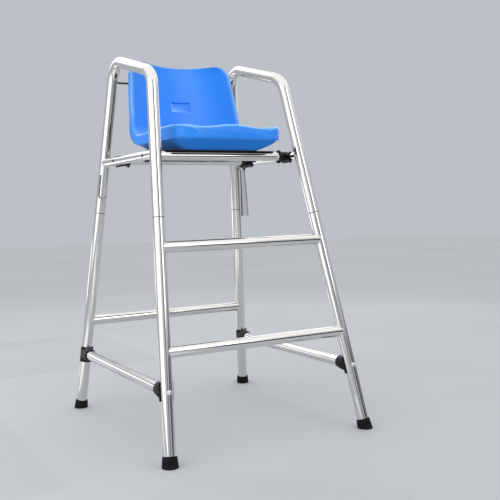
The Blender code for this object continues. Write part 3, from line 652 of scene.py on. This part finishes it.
def saddle_connector(name, at, post, post_r, bar, bar_r, bar_start, socket, saddle_wall, wrap, drop=0.0):
    """Moulded connector at a point of one tube (post), facing along the tube that it holds (bar)."""
    across = post.cross(bar).normalized()
    facing = across.cross(post).normalized()

    def near_side():
        """Block that holds all of the connector's side of the post."""
        bm = bmesh.new()
        reach = 2 * socket[0][1]
        bmesh.ops.create_cube(bm, size=1, matrix=Matrix.LocRotScale(
            ((reach - wrap) / 2, 0, 0), None, (reach + wrap, 2 * SADDLE_LENGTH, 2 * SADDLE_LENGTH)))
        stance = Matrix((facing, across, post)).transposed().to_4x4()
        bmesh.ops.transform(bm, matrix=Matrix.Translation(at) @ stance, verts=bm.verts)
        return former("near_form", bm)

    body = former("socket_form", turned_mesh(socket, at, bar, MOULD_SIDES))
    carve(body, near_side(), "INTERSECT")
    half = SADDLE_LENGTH / 2
    sleeve = bar_of(at - Vector((0, 0, drop)), post, half, half, post_r + saddle_wall)
    carve(sleeve, near_side(), "INTERSECT")
    carve(body, sleeve, "UNION")
    carve(body, bar_of(at, post, SADDLE_LENGTH, SADDLE_LENGTH, post_r + JOINT_GAP), "DIFFERENCE")
    carve(body, bar_of(at + bar * bar_start, bar, JOINT_GAP, SADDLE_LENGTH, bar_r + JOINT_GAP), "DIFFERENCE")
    bm = bmesh.new()
    bm.from_mesh(body.data)
    bpy.data.objects.remove(body)
    bmesh.ops.dissolve_limit(bm, angle_limit=MOULD_FLAT, verts=bm.verts, edges=bm.edges)
    piece = set_in_place(f"{name}_moulding", bm, black_nylon, "black_plastic", name, crease=MOULD_CREASE)
    easing = piece.modifiers.new("eased_edges", "BEVEL")
    easing.limit_method = "ANGLE"
    easing.angle_limit = MOULD_EDGE
    easing.width = MOULD_EASE
    easing.segments = 3


for side, end in CORNERS:
    name = f"{END_NAME[end]}_{SIDE_NAME[side]}_bar_connector"
    way = bar_inward[side, end]
    post = leg_way(side, end)
    mouth = end_gap + BAR_SOCKET_DEPTH
    socket = [(0, mouth), (BAR_R + BAR_SOCKET_LIP, mouth), (BAR_R + BAR_SOCKET_ROOT, LEG_R),
              (BAR_R + BAR_SOCKET_HEEL, BAR_SOCKET_HEEL), (0, BAR_SOCKET_HEEL)]
    start = end_gap / post.cross(way).length
    saddle_connector(name, bar_seats[side, end], post, LEG_R, way, BAR_R, start, socket,
                     BAR_SADDLE_WALL, BAR_SADDLE_WRAP)


# Bar bolts: bright domed steel bolts that go through the legs into the connectors. Each head has a thin
# brim that is pulled down onto the tube.

BAR_BOLT_R = 0.004
BAR_HEAD_R = 0.0085
BAR_HEAD_HEIGHT = 0.007
BOLT_COVER = 0.002
DOME_WIDTH = 0.9
BRIM_HEIGHT = 0.16
HEAD_SINK = 0.35
DOME_STEPS = 10
BOLT_SIDES = 40


def dome_bolt(name, at, way, post_r, shank_r, head_r, head_height, length, finish, slot):
    """Domed bolt with its head outside a tube and its shank through the tube's middle."""
    outline = []
    for step in range(DOME_STEPS + 1):
        turn = math.pi / 2 * step / DOME_STEPS
        lift = BRIM_HEIGHT + (1 - BRIM_HEIGHT) * math.cos(turn)
        outline.append((DOME_WIDTH * head_r * math.sin(turn), post_r + head_height * lift))
    sunk = post_r - head_height * HEAD_SINK
    outline += [(head_r, post_r + head_height * BRIM_HEIGHT), (head_r, sunk)]
    outline += [(shank_r, sunk), (shank_r, -length), (0, -length)]
    set_in_place(f"{name}_dome", turned_mesh(outline, at, -way, BOLT_SIDES), finish, slot, name)


for side, end in CORNERS:
    name = f"{END_NAME[end]}_{SIDE_NAME[side]}_bar_bolt"
    dome_bolt(name, bar_seats[side, end], bar_inward[side, end], LEG_R, BAR_BOLT_R, BAR_HEAD_R,
              BAR_HEAD_HEIGHT, end_gap - BOLT_COVER, polished_steel, "polished_steel")


# Front and rear seat rails: polished tubes from side to side, which carry the seat. Their ends push
# into connectors on the side rails.

CROSS_RAIL_Y = {FRONT: -0.124, REAR: 0.168}
rail_root = RAIL_R + SOCKET_FLOOR
for end, y in CROSS_RAIL_Y.items():
    half_length = RAIL_HALF - rail_root
    cross_ends = [Vector((side * half_length, y, RAIL_Z)) for side in (LEFT, RIGHT)]
    sawn_tube(f"{END_NAME[end]}_rail", cross_ends, RAIL_R)


# Rail connectors: the same black nylon, with half a sleeve on the side rail and a waisted socket for
# the cross rail. A dark bolt through the side rail holds each.

RAIL_SADDLE_WALL = 0.0055
RAIL_SADDLE_WRAP = -0.005
RAIL_SADDLE_DROP = 0.002
RAIL_SOCKET_LIP = 0.009
RAIL_SOCKET_RIM = 0.0016
RAIL_SOCKET_WAIST = 0.0035
RAIL_SOCKET_DEPTH = 0.017
RAIL_FLARE_STEPS = 8
RAIL_BOLT_R = 0.003
RAIL_HEAD_R = 0.0055
RAIL_HEAD_HEIGHT = 0.0035

dark_steel, tree, shader = new_finish("dark_steel")
shader.inputs["Metallic"].default_value = 1.0
close = coordinates(tree, "Object")
mottle(tree, shader, "Base Color", close, scale=60, low=(0.050, 0.052, 0.056), high=(0.085, 0.087, 0.092))
mottle(tree, shader, "Roughness", close, scale=240, low=0.30, high=0.45)

for side, end in CORNERS:
    name = f"{END_NAME[end]}_{SIDE_NAME[side]}_rail"
    at = Vector((side * RAIL_HALF, CROSS_RAIL_Y[end], RAIL_Z))
    inward = Vector((-side, 0, 0))
    mouth = rail_root + RAIL_SOCKET_DEPTH
    lip_r = RAIL_R + RAIL_SOCKET_LIP
    waist_r = RAIL_R + RAIL_SOCKET_WAIST
    flare_run = RAIL_SOCKET_DEPTH / 2 - RAIL_SOCKET_RIM
    flare = [1 - step / RAIL_FLARE_STEPS for step in range(RAIL_FLARE_STEPS + 1)]
    socket = [(0, mouth), (lip_r, mouth)]
    socket += [(waist_r + (lip_r - waist_r) * share ** 2, mouth - RAIL_SOCKET_RIM - flare_run * (1 - share))
               for share in flare]
    socket += [(waist_r, 0), (0, 0)]
    saddle_connector(f"{name}_connector", at, Vector((0, 1, 0)), RAIL_R, inward, RAIL_R, rail_root, socket,
                     RAIL_SADDLE_WALL, RAIL_SADDLE_WRAP, RAIL_SADDLE_DROP)
    dome_bolt(f"{name}_bolt", at, inward, RAIL_R, RAIL_BOLT_R, RAIL_HEAD_R, RAIL_HEAD_HEIGHT,
              rail_root - BOLT_COVER, dark_steel, "dark_steel")


# Seat plate: a sheet of black plastic on the two cross rails, held by countersunk screws of dark steel.
# Four bright bolts come up through it into the seat.

PLATE_HALF = 0.2215
PLATE_OVERHANG = 0.012
PLATE_THICKNESS = 0.004
PLATE_CORNER = 0.010
PLATE_EASE = 0.0006
plate_low = RAIL_Z + RAIL_R + JOINT_GAP
plate_front = CROSS_RAIL_Y[FRONT] - PLATE_OVERHANG
plate_rear = CROSS_RAIL_Y[REAR] + PLATE_OVERHANG
bm = bmesh.new()
bmesh.ops.create_cube(bm, size=1, matrix=Matrix.LocRotScale(
    (0, (plate_front + plate_rear) / 2, plate_low + PLATE_THICKNESS / 2), None,
    (2 * PLATE_HALF, plate_rear - plate_front, PLATE_THICKNESS)))
posts = [edge for edge in bm.edges if abs(edge.verts[0].co.z - edge.verts[1].co.z) > PLATE_THICKNESS / 2]
bmesh.ops.bevel(bm, geom=posts, offset=PLATE_CORNER, segments=8, profile=0.5, affect="EDGES")
rims = [edge for edge in bm.edges if abs(edge.verts[0].co.z - edge.verts[1].co.z) < PLATE_THICKNESS / 2]
bmesh.ops.bevel(bm, geom=rims, offset=PLATE_EASE, segments=2, profile=0.5, affect="EDGES")
set_in_place("seat_plate_sheet", bm, black_nylon, "black_plastic", "seat_plate")
for side, end in CORNERS:
    corner = f"{END_NAME[end]}_{SIDE_NAME[side]}"
    for node, finish in ((f"{corner}_plate_screw", dark_steel), (f"{corner}_seat_bolt", polished_steel)):
        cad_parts[node].data.materials.clear()
        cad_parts[node].data.materials.append(finish)


# Seat: one hollow moulding of bright blue plastic, bolted on from below, with a dished pan, thigh troughs
# along a deep front lip, a curved back with rounded corners and a bare sunk panel. Its skin has a fine,
# even grain. A lighter blue along its rim's rounded edges is a painted highlight.

SEAT_BASE_Z = plate_low + PLATE_THICKNESS + JOINT_GAP
SEAT_FRONT_Y = -0.229
SEAT_RIM_HEIGHT = 0.083
SEAT_LIP = 0.049
SEAT_FRONT_HALF = 0.2145
SEAT_REAR_HALF = 0.235
SEAT_TOP_HALF = 0.214
SEAT_BASE_HALF = 0.153
SEAT_BASE_SETBACK = 0.099
SEAT_CORNER_Y = 0.139
SEAT_BEND = 0.045
BACK_LEAN = math.radians(12)
BACK_LENGTH = 0.290
BACK_THICKNESS = 0.020
BACK_CORNER = 0.052
BACK_TAPER = 1.5
CROWN_TUCK = 0.7
LIP_FADE = 0.5
PAN_DISH = 0.018
BACK_DISH = 0.0435
LIP_WAVE = 0.0048
LIP_TROUGH_X = 0.118
LIP_EDGE_RISE = 1.5
WAVE_LENGTH = 0.255
EDGE_ROUND = 0.010
LIP_UNDER = 0.3
EDGE_SQUARENESS = 0.5
EDGE_ANGLES = (75, 60, 45, 32, 20, 10, -10, -20, -32, -45, -60, -75)
SEAT_COLUMNS = 64
EDGE_ROWS = 8
CORNER_ROWS = 12
SETBACK_ROWS = 6
PAN_ROWS = 20
BEND_ROWS = 14
BACK_ROWS = 16
CROWN_ROWS = 22
SEAT_CREASE = 30
VENT_R = 0.0045
VENT_X = 0.0525
VENT_SETBACK = 0.020
VENT_SIDES = 24
RECESS_WIDTH = 0.082
RECESS_HEIGHT = 0.040
RECESS_DEPTH = 0.0045
RECESS_ALONG_BACK = 0.125
RECESS_DRAFT = 1.0
FRONT_CORNER = 0.070
SIDE_DIP = 0.011
DIP_START = 0.120
# Painted highlight along the rim: its strength at the front and along the pan's sides, and the bands that it
# covers.
RIM_HIGHLIGHT = 0.8
SIDE_RIM_HIGHLIGHT = 0.3
RIM_BAND = 0.045
RIM_START = 0.03
RIM_RISE = 0.12
RIM_END = 1.4
RIM_FADE = 0.4
RIM_ANGLE = 25
RIM_ANGLE_RISE = 40
SEAT_RIM_Z = SEAT_BASE_Z + SEAT_RIM_HEIGHT
SEAT_TURN = math.pi / 2 - BACK_LEAN
BEND_RUN = SEAT_BEND * math.tan(SEAT_TURN / 2)
PAN_LENGTH = SEAT_CORNER_Y - BEND_RUN - SEAT_FRONT_Y
ARC_LENGTH = SEAT_BEND * SEAT_TURN
TURN_END = PAN_LENGTH + ARC_LENGTH
SEAT_LENGTH = TURN_END + BACK_LENGTH - BEND_RUN

# A colour mix node's sockets, by number.
MIX_SHARE = 0
MIX_FIRST = 6
MIX_SECOND = 7
MIX_RESULT = 2

blue_plastic, tree, shader = new_finish("blue_plastic")
close = coordinates(tree, "Object")
base = grain(tree, close, scale=7, low=(0.024, 0.272, 0.970), high=(0.032, 0.300, 1.000))
# Painted highlight: a lighter blue is mixed in along the rim's rounded edges, by the share held in the rim
# attribute.
edge = tree.nodes.new("ShaderNodeAttribute")
edge.attribute_name = "rim_highlight"
highlight_mix = tree.nodes.new("ShaderNodeMix")
highlight_mix.data_type = "RGBA"
highlight_mix.inputs[MIX_SECOND].default_value = (0.24, 0.56, 0.98, 1)
tree.links.new(edge.outputs["Fac"], highlight_mix.inputs[MIX_SHARE])
tree.links.new(base, highlight_mix.inputs[MIX_FIRST])
tree.links.new(highlight_mix.outputs[MIX_RESULT], shader.inputs["Base Color"])
mottle(tree, shader, "Roughness", close, scale=90, low=0.20, high=0.27)
shader.inputs["Specular IOR Level"].default_value = 0.36
raise_grain(tree, shader, grain(tree, close, scale=900, low=0.0, high=1.0, detail=2.0), depth=0.00002)


def ease(value):
    """Smooth step from 0 to 1."""
    held = min(max(value, 0), 1)
    return held * held * (3 - 2 * held)


def mix(first, second, share):
    """Value between two others."""
    return first + (second - first) * share


def rim_line(s):
    """Point of the seat's rim in side view at a distance from the front, and the way up from it."""
    if s < PAN_LENGTH:
        return Vector((0, SEAT_FRONT_Y + s, SEAT_RIM_Z)), Vector((0, 0, 1))
    angle = min((s - PAN_LENGTH) / SEAT_BEND, SEAT_TURN)
    upward = Vector((0, -math.sin(angle), math.cos(angle)))
    centre = Vector((0, SEAT_FRONT_Y + PAN_LENGTH, SEAT_RIM_Z + SEAT_BEND))
    along = Vector((0, math.cos(angle), math.sin(angle)))
    return centre - upward * SEAT_BEND + along * max(s - TURN_END, 0), upward


def seat_section(s):
    """Closed outline across the seat at a distance from its front, and the share of painted highlight at each
    point of it. Below, u goes across from -1 at the left edge to 1 at the right."""
    origin, upward = rim_line(s)
    rise = ease((s - PAN_LENGTH) / ARC_LENGTH)
    pan_share = min(s / TURN_END, 1)
    back_share = max((s - TURN_END) / (SEAT_LENGTH - TURN_END), 0)
    half = mix(mix(SEAT_FRONT_HALF, SEAT_REAR_HALF, pan_share), SEAT_TOP_HALF, back_share ** BACK_TAPER)
    top_left = SEAT_LENGTH - s
    if top_left < BACK_CORNER:
        half -= BACK_CORNER - math.sqrt(max(BACK_CORNER ** 2 - (BACK_CORNER - top_left) ** 2, 0))
    crown = max(1 - top_left / EDGE_ROUND, 0)
    thin = CROWN_TUCK * BACK_THICKNESS / 2 * (1 - math.sqrt(1 - crown ** 2))
    short = max(FRONT_CORNER - s, 0)
    straight = half - FRONT_CORNER
    arc = math.sqrt(FRONT_CORNER ** 2 - short ** 2)
    half = straight + arc
    ease_out = EDGE_ROUND * arc / FRONT_CORNER
    dish = mix(PAN_DISH * ease(s / WAVE_LENGTH), BACK_DISH, rise)
    lip = mix(SEAT_LIP, BACK_THICKNESS, ease((s - PAN_LENGTH) / ARC_LENGTH - LIP_FADE))
    base = SEAT_RIM_HEIGHT * (1 - rise)
    wave = LIP_WAVE * (1 - ease(s / WAVE_LENGTH))
    dip = SIDE_DIP * ease((s - DIP_START) / (PAN_LENGTH - DIP_START)) * (1 - rise)
    reach = half - ease_out

    def from_edge(u):
        """Distance in from the front edge and its corners."""
        return FRONT_CORNER - math.hypot(max(abs(u) * reach - straight, 0), short)

    def tuck(u):
        """Depth of the edge's rounding."""
        return EDGE_ROUND * (1 - math.sqrt(1 - max(1 - from_edge(u) / EDGE_ROUND, 0) ** 2))

    def upper(u):
        """Height of the top, with the troughs, the dish and the dip of the side rims."""
        across = abs(u) * reach
        inner = min(across / LIP_TROUGH_X, 1)
        outer = min(max(across - LIP_TROUGH_X, 0) / (SEAT_FRONT_HALF - EDGE_ROUND - LIP_TROUGH_X), 1)
        climb = LIP_EDGE_RISE * (1 - math.cos(math.pi * outer)) / 2
        ripple = math.cos(math.pi * inner) + climb + 1 - LIP_EDGE_RISE
        return wave * ripple - dish * (1 - u * u) - dip * u * u - max(tuck(u), thin)

    def lower(u):
        """Depth of the underside, from the lip down to the flat base."""
        shell = lip + dish * rise * (1 - u * u)
        slope = (half - abs(u) * half) / max(half - SEAT_BASE_HALF, EDGE_ROUND)
        setback = min(s / SEAT_BASE_SETBACK, 1)
        return shell + max(base - lip, 0) * min(slope, setback, 1) - max(LIP_UNDER * tuck(u), thin)

    steps = [2 * column / SEAT_COLUMNS - 1 for column in range(SEAT_COLUMNS + 1)]
    outline = [(u * reach, upper(u)) for u in steps]
    high = upper(1)
    low = -lower(1)
    side_face = []
    for angle in EDGE_ANGLES:
        bulge = math.cos(math.radians(angle)) ** EDGE_SQUARENESS
        lift = math.copysign(abs(math.sin(math.radians(angle))) ** EDGE_SQUARENESS, angle)
        side_face.append((reach + ease_out * bulge, (high + low) / 2 + (high - low) / 2 * lift))
    outline += side_face
    outline += [(u * reach, -lower(u)) for u in reversed(steps)]
    outline += [(-x, offset) for x, offset in reversed(side_face)]

    def rim_highlight_share(u):
        """Share of painted highlight on the top's rim along the sides and the front."""
        inward = from_edge(u) / EDGE_ROUND
        at_side = ease((abs(u) - (1 - RIM_BAND)) / RIM_BAND)
        at_front = ease((inward - RIM_START) / RIM_RISE) * ease((RIM_END - inward) / RIM_FADE)
        return max(at_side, at_front)

    # The painted highlight is weaker along the pan's sides, and it also lies on the upper half of each side's
    # rounding.
    side_run = ease(s / DIP_START - 1) * (1 - ease((s - TURN_END) / BACK_CORNER))
    highlight_strength = mix(RIM_HIGHLIGHT, SIDE_RIM_HIGHLIGHT, side_run)
    top_highlight = [rim_highlight_share(u) for u in steps]
    side_highlight = [ease((angle - RIM_ANGLE) / RIM_ANGLE_RISE) for angle in EDGE_ANGLES]
    rim_highlight = [share * highlight_strength for share in top_highlight + side_highlight + [0] * len(steps) + side_highlight[::-1]]
    return [origin + Vector((x, 0, 0)) + upward * offset for x, offset in outline], rim_highlight


def spread(first, last, count):
    """Even steps from one value to another, without the first."""
    return [mix(first, last, (step + 1) / count) for step in range(count)]


QUARTER = math.pi / 2
CORNER_START = math.acos(1 - EDGE_ROUND / FRONT_CORNER)
CROWN_START = SEAT_LENGTH - BACK_CORNER
stations = [0]
stations += [EDGE_ROUND * (1 - math.cos(turn)) for turn in spread(0, QUARTER, EDGE_ROWS)]
stations += [FRONT_CORNER * (1 - math.cos(turn)) for turn in spread(CORNER_START, QUARTER, CORNER_ROWS)]
stations += spread(FRONT_CORNER, SEAT_BASE_SETBACK, SETBACK_ROWS)
stations += spread(SEAT_BASE_SETBACK, PAN_LENGTH, PAN_ROWS)
stations += spread(PAN_LENGTH, TURN_END, BEND_ROWS)
stations += spread(TURN_END, CROWN_START, BACK_ROWS)
stations += [CROWN_START + BACK_CORNER * math.sin(turn) for turn in spread(0, QUARTER, CROWN_ROWS)]
bm = bmesh.new()
sections = [seat_section(s) for s in stations]
rim_highlight_layer = bm.verts.layers.float.new("rim_highlight")
made = skin(bm, [outline for outline, _ in sections], False)
for ring, (_, rim_highlight) in zip(made, sections):
    for corner, share in zip(ring, rim_highlight):
        corner[rim_highlight_layer] = share
bm.faces.new(reversed(made[0]))
bm.faces.new(made[-1])
bmesh.ops.recalc_face_normals(bm, faces=bm.faces)
shell = former("seat_form", bm)
recess_at, recess_out = rim_line(TURN_END - BEND_RUN + RECESS_ALONG_BACK)
slope = Vector((0, recess_out.z, -recess_out.y))
bm = bmesh.new()
bmesh.ops.create_cube(bm, size=1)
for corner in bm.verts:
    lift = BACK_DISH if corner.co.z > 0 else 0
    splay = RECESS_DRAFT * (lift - RECESS_DEPTH)
    corner.co = Vector((math.copysign(RECESS_WIDTH / 2 + splay, corner.co.x),
                        math.copysign(RECESS_HEIGHT / 2 + splay, corner.co.y), lift))
recess_stance = Matrix((Vector((1, 0, 0)), slope, recess_out)).transposed().to_4x4()
recess_stance.translation = recess_at - recess_out * (BACK_DISH + RECESS_DEPTH)
bmesh.ops.transform(bm, matrix=recess_stance, verts=bm.verts)
carve(shell, former("recess_form", bm), "DIFFERENCE")
vent_at = Vector((VENT_X, SEAT_FRONT_Y + VENT_SETBACK, SEAT_RIM_Z - SEAT_LIP / 2))
vent = plain_bar(VENT_R, SEAT_BASE_Z - vent_at.z, 0)
carve(shell, former("vent_form", turned_mesh(vent, vent_at, Vector((0, 0, 1)), VENT_SIDES)), "DIFFERENCE")
bm = bmesh.new()
bm.from_mesh(shell.data)
bpy.data.objects.remove(shell)
seat = set_in_place("seat_moulding", bm, blue_plastic, "blue_plastic", "seat_shell", crease=SEAT_CREASE)

# The seat stays out of reflections, so that its blue doesn't show in the tubes.
seat.visible_glossy = False


# Back tie rod: a thin dark steel rod behind the seat's back. It is let into the rear legs of both hoops
# and keeps them the same distance apart.

TIE_ROD_Z = 1.297
TIE_ROD_R = 0.004
TIE_ROD_SIDES = 32
rod_left, rod_right = (leg_point(side, REAR, TIE_ROD_Z) for side in (LEFT, RIGHT))
rod_run = rod_right - rod_left
rod = turned_mesh(plain_bar(TIE_ROD_R, 0, rod_run.length), rod_left, rod_run, TIE_ROD_SIDES)
set_in_place("back_tie_rod_bar", rod, dark_steel, "dark_steel", "back_tie_rod")


# Hook: a bent length of drawn steel wire on the rear left leg, welded along its straight shank, for
# hanging small things. Its steel is painted much darker than the frame's, as painted shade.

HOOK_WIRE_R = 0.0025
HOOK_TOP_Z = 0.943
HOOK_LOW_Z = 0.866
HOOK_RADIUS = 0.014
HOOK_TIP = 0.018
HOOK_BEND = math.radians(135)
HOOK_FACING = math.radians(49)
HOOK_STEPS = 24
HOOK_SIDES = 20
HOOK_END_STEPS = 5
HOOK_END_FLAT = 0.02
HOOK_CREASE = 60

# Painted shade: the wire's steel colour is far darker than the polished frame's.
shaded_wire, tree, shader = new_finish("shaded_wire")
shader.inputs["Metallic"].default_value = 1.0
close = coordinates(tree, "Object")
mottle(tree, shader, "Base Color", close, scale=120, low=(0.22, 0.215, 0.21), high=(0.34, 0.335, 0.33))
mottle(tree, shader, "Roughness", close, scale=300, low=0.28, high=0.40)

hook_up = leg_way(LEFT, REAR)
outward = Vector((-math.sin(HOOK_FACING), -math.cos(HOOK_FACING), 0))
outward = (outward - hook_up * outward.dot(hook_up)).normalized()
sideways = hook_up.cross(outward)
stand_off = outward * (LEG_R + JOINT_GAP + HOOK_WIRE_R)
hook_low = leg_point(LEFT, REAR, HOOK_LOW_Z) + stand_off
hook_centre = hook_low + sideways * HOOK_RADIUS
hook_path = [leg_point(LEFT, REAR, HOOK_TOP_Z) + stand_off]
for step in range(HOOK_STEPS + 1):
    turn = HOOK_BEND * step / HOOK_STEPS
    hook_path.append(hook_centre - (sideways * math.cos(turn) + hook_up * math.sin(turn)) * HOOK_RADIUS)
tip_way = sideways * math.sin(HOOK_BEND) - hook_up * math.cos(HOOK_BEND)
hook_path.append(hook_path[-1] + tip_way * HOOK_TIP)
hook_frames = path_frames(hook_path)


def wire_round(index, size=1.0, shift=0.0):
    """Points round the wire at a point of its path, with a size and a shift along it in wire radii."""
    tangent, across, over = hook_frames[index]
    middle = hook_path[index] + tangent * HOOK_WIRE_R * shift
    return round_of(middle, across, over, HOOK_WIRE_R * size, HOOK_SIDES)


ends_round = [math.pi / 2 * (1 - step / HOOK_END_STEPS) for step in range(HOOK_END_STEPS + 1)]
end_sizes = [(max(math.cos(turn), HOOK_END_FLAT), 1 - math.sin(turn)) for turn in ends_round]
rings = [wire_round(0, size, shift) for size, shift in end_sizes]
rings += [wire_round(index) for index in range(1, len(hook_path) - 1)]
rings += [wire_round(-1, size, -shift) for size, shift in reversed(end_sizes)]
bm = bmesh.new()
made = skin(bm, rings, False)
bm.faces.new(made[0])
bm.faces.new(made[-1])
bmesh.ops.recalc_face_normals(bm, faces=bm.faces)
set_in_place("j_hook_wire", bm, shaded_wire, "polished_steel", "j_hook", crease=HOOK_CREASE)


# Strap: grey woven webbing looped over the right seat rail, with painted shade along both edges: a dark
# band on the rear edge for its shaded edge and the gap between its plies, and a dimmer band on the front
# edge. Its two plies hang close together and twist a little towards their cut ends.

STRAP_WIDTH = 0.032
STRAP_PLY = 0.0018
STRAP_Y = 0.2395
STRAP_LENGTH = 0.224
STRAP_TWIST = math.radians(32)
STRAP_CLEARANCE = 0.0008
STRAP_LOOP_R = RAIL_R + STRAP_CLEARANCE
STRAP_LEAVES_RAIL = math.radians(-38)
STRAP_NECK = 0.020
STRAP_HALF_GAP = 0.00015
STRAP_COLUMNS = 10
HANG_STEPS = 24
NECK_STEPS = 8
LOOP_STEPS = 32
STRAP_EDGE_SHADE = 0.0065
STRAP_FRONT_SHADE = 0.08
STRAP_CREASE = 50
strap_axis = Vector((RAIL_HALF, STRAP_Y, RAIL_Z))

grey_webbing, tree, shader = new_finish("grey_webbing")
threads = coordinates(tree, "UV")
weave = tree.nodes.new("ShaderNodeTexBrick")
weave.inputs["Scale"].default_value = 1.0
weave.inputs["Color1"].default_value = (0.72, 0.715, 0.70, 1)
weave.inputs["Color2"].default_value = (0.82, 0.815, 0.80, 1)
weave.inputs["Mortar"].default_value = (0.50, 0.495, 0.48, 1)
weave.inputs["Mortar Size"].default_value = 0.0002
weave.inputs["Brick Width"].default_value = 0.0030
weave.inputs["Row Height"].default_value = 0.0011
tree.links.new(threads, weave.inputs["Vector"])
# Painted shade across the strap: the front edge is dimmed and the rear edge is dark, multiplied into the
# weave.
across_strap = tree.nodes.new("ShaderNodeSeparateXYZ")
tree.links.new(coordinates(tree, "UV", (1 / STRAP_WIDTH, 1, 1)), across_strap.inputs["Vector"])
edge_shade = tree.nodes.new("ShaderNodeValToRGB")
edge_shade.color_ramp.interpolation = "CONSTANT"
edge_shade.color_ramp.elements[0].color = (0.6, 0.6, 0.6, 1)
edge_shade.color_ramp.elements[1].position = STRAP_FRONT_SHADE
edge_shade.color_ramp.elements[1].color = (1, 1, 1, 1)
shaded_rear_edge = edge_shade.color_ramp.elements.new(1 - STRAP_EDGE_SHADE / STRAP_WIDTH)
shaded_rear_edge.color = (0.05, 0.048, 0.045, 1)
tree.links.new(across_strap.outputs["X"], edge_shade.inputs["Fac"])
shade_mix = tree.nodes.new("ShaderNodeMix")
shade_mix.data_type = "RGBA"
shade_mix.blend_type = "MULTIPLY"
shade_mix.inputs[MIX_SHARE].default_value = 1.0
tree.links.new(weave.outputs["Color"], shade_mix.inputs[MIX_FIRST])
tree.links.new(edge_shade.outputs["Color"], shade_mix.inputs[MIX_SECOND])
tree.links.new(shade_mix.outputs[MIX_RESULT], shader.inputs["Base Color"])
shader.inputs["Roughness"].default_value = 0.9
raise_grain(tree, shader, weave.outputs["Fac"], depth=-0.0002)

loop_mid = STRAP_LOOP_R + STRAP_PLY / 2


def loop_point(turn):
    """Point of the webbing's middle on its way round the rail."""
    return Vector((loop_mid * math.cos(turn), 0, loop_mid * math.sin(turn)))


neck = Vector((STRAP_PLY / 2 + STRAP_HALF_GAP, 0, -loop_mid - STRAP_NECK))
leave = loop_point(STRAP_LEAVES_RAIL)
centre_line = []
for step in range(HANG_STEPS):
    centre_line.append(Vector((neck.x, 0, mix(-STRAP_LENGTH, neck.z, step / HANG_STEPS))))
for step in range(NECK_STEPS):
    share = step / NECK_STEPS
    centre_line.append(Vector((mix(neck.x, leave.x, ease(share)), 0, mix(neck.z, leave.z, share))))
hanging_ply = list(centre_line)
for step in range(LOOP_STEPS + 1):
    centre_line.append(loop_point(mix(STRAP_LEAVES_RAIL, math.pi - STRAP_LEAVES_RAIL, step / LOOP_STEPS)))
for point in reversed(hanging_ply):
    centre_line.append(Vector((-point.x, 0, point.z)))
columns = range(STRAP_COLUMNS + 1)
half_width = STRAP_WIDTH / 2
outline = [(mix(-half_width, half_width, column / STRAP_COLUMNS), STRAP_PLY / 2) for column in columns]
outline += [(mix(half_width, -half_width, column / STRAP_COLUMNS), -STRAP_PLY / 2) for column in columns]
rear_edge = Vector((0, half_width, 0))
rings = []
for index, point in enumerate(centre_line):
    before = centre_line[max(index - 1, 0)]
    after = centre_line[min(index + 1, len(centre_line) - 1)]
    run = (after - before).normalized()
    face = Vector((run.z, 0, -run.x))
    fall = max(-point.z - loop_mid, 0) / (STRAP_LENGTH - loop_mid)
    twist = Matrix.Rotation(STRAP_TWIST * fall, 3, "Z")
    ring = []
    for y, offset in outline:
        spot = point + Vector((0, y, 0)) + face * offset - rear_edge
        ring.append(strap_axis + rear_edge + twist @ spot)
    rings.append(ring)
bm = bmesh.new()
column_width = STRAP_WIDTH / STRAP_COLUMNS
places = [column * column_width for column in [*columns, *reversed(columns), 0]]
made = skin(bm, rings, False, places)
bm.faces.new(made[0])
bm.faces.new(made[-1])
bmesh.ops.recalc_face_normals(bm, faces=bm.faces)
strap = set_in_place("hanging_strap_webbing", bm, grey_webbing, "grey_webbing", "hanging_strap", body="strap",
                     crease=STRAP_CREASE)
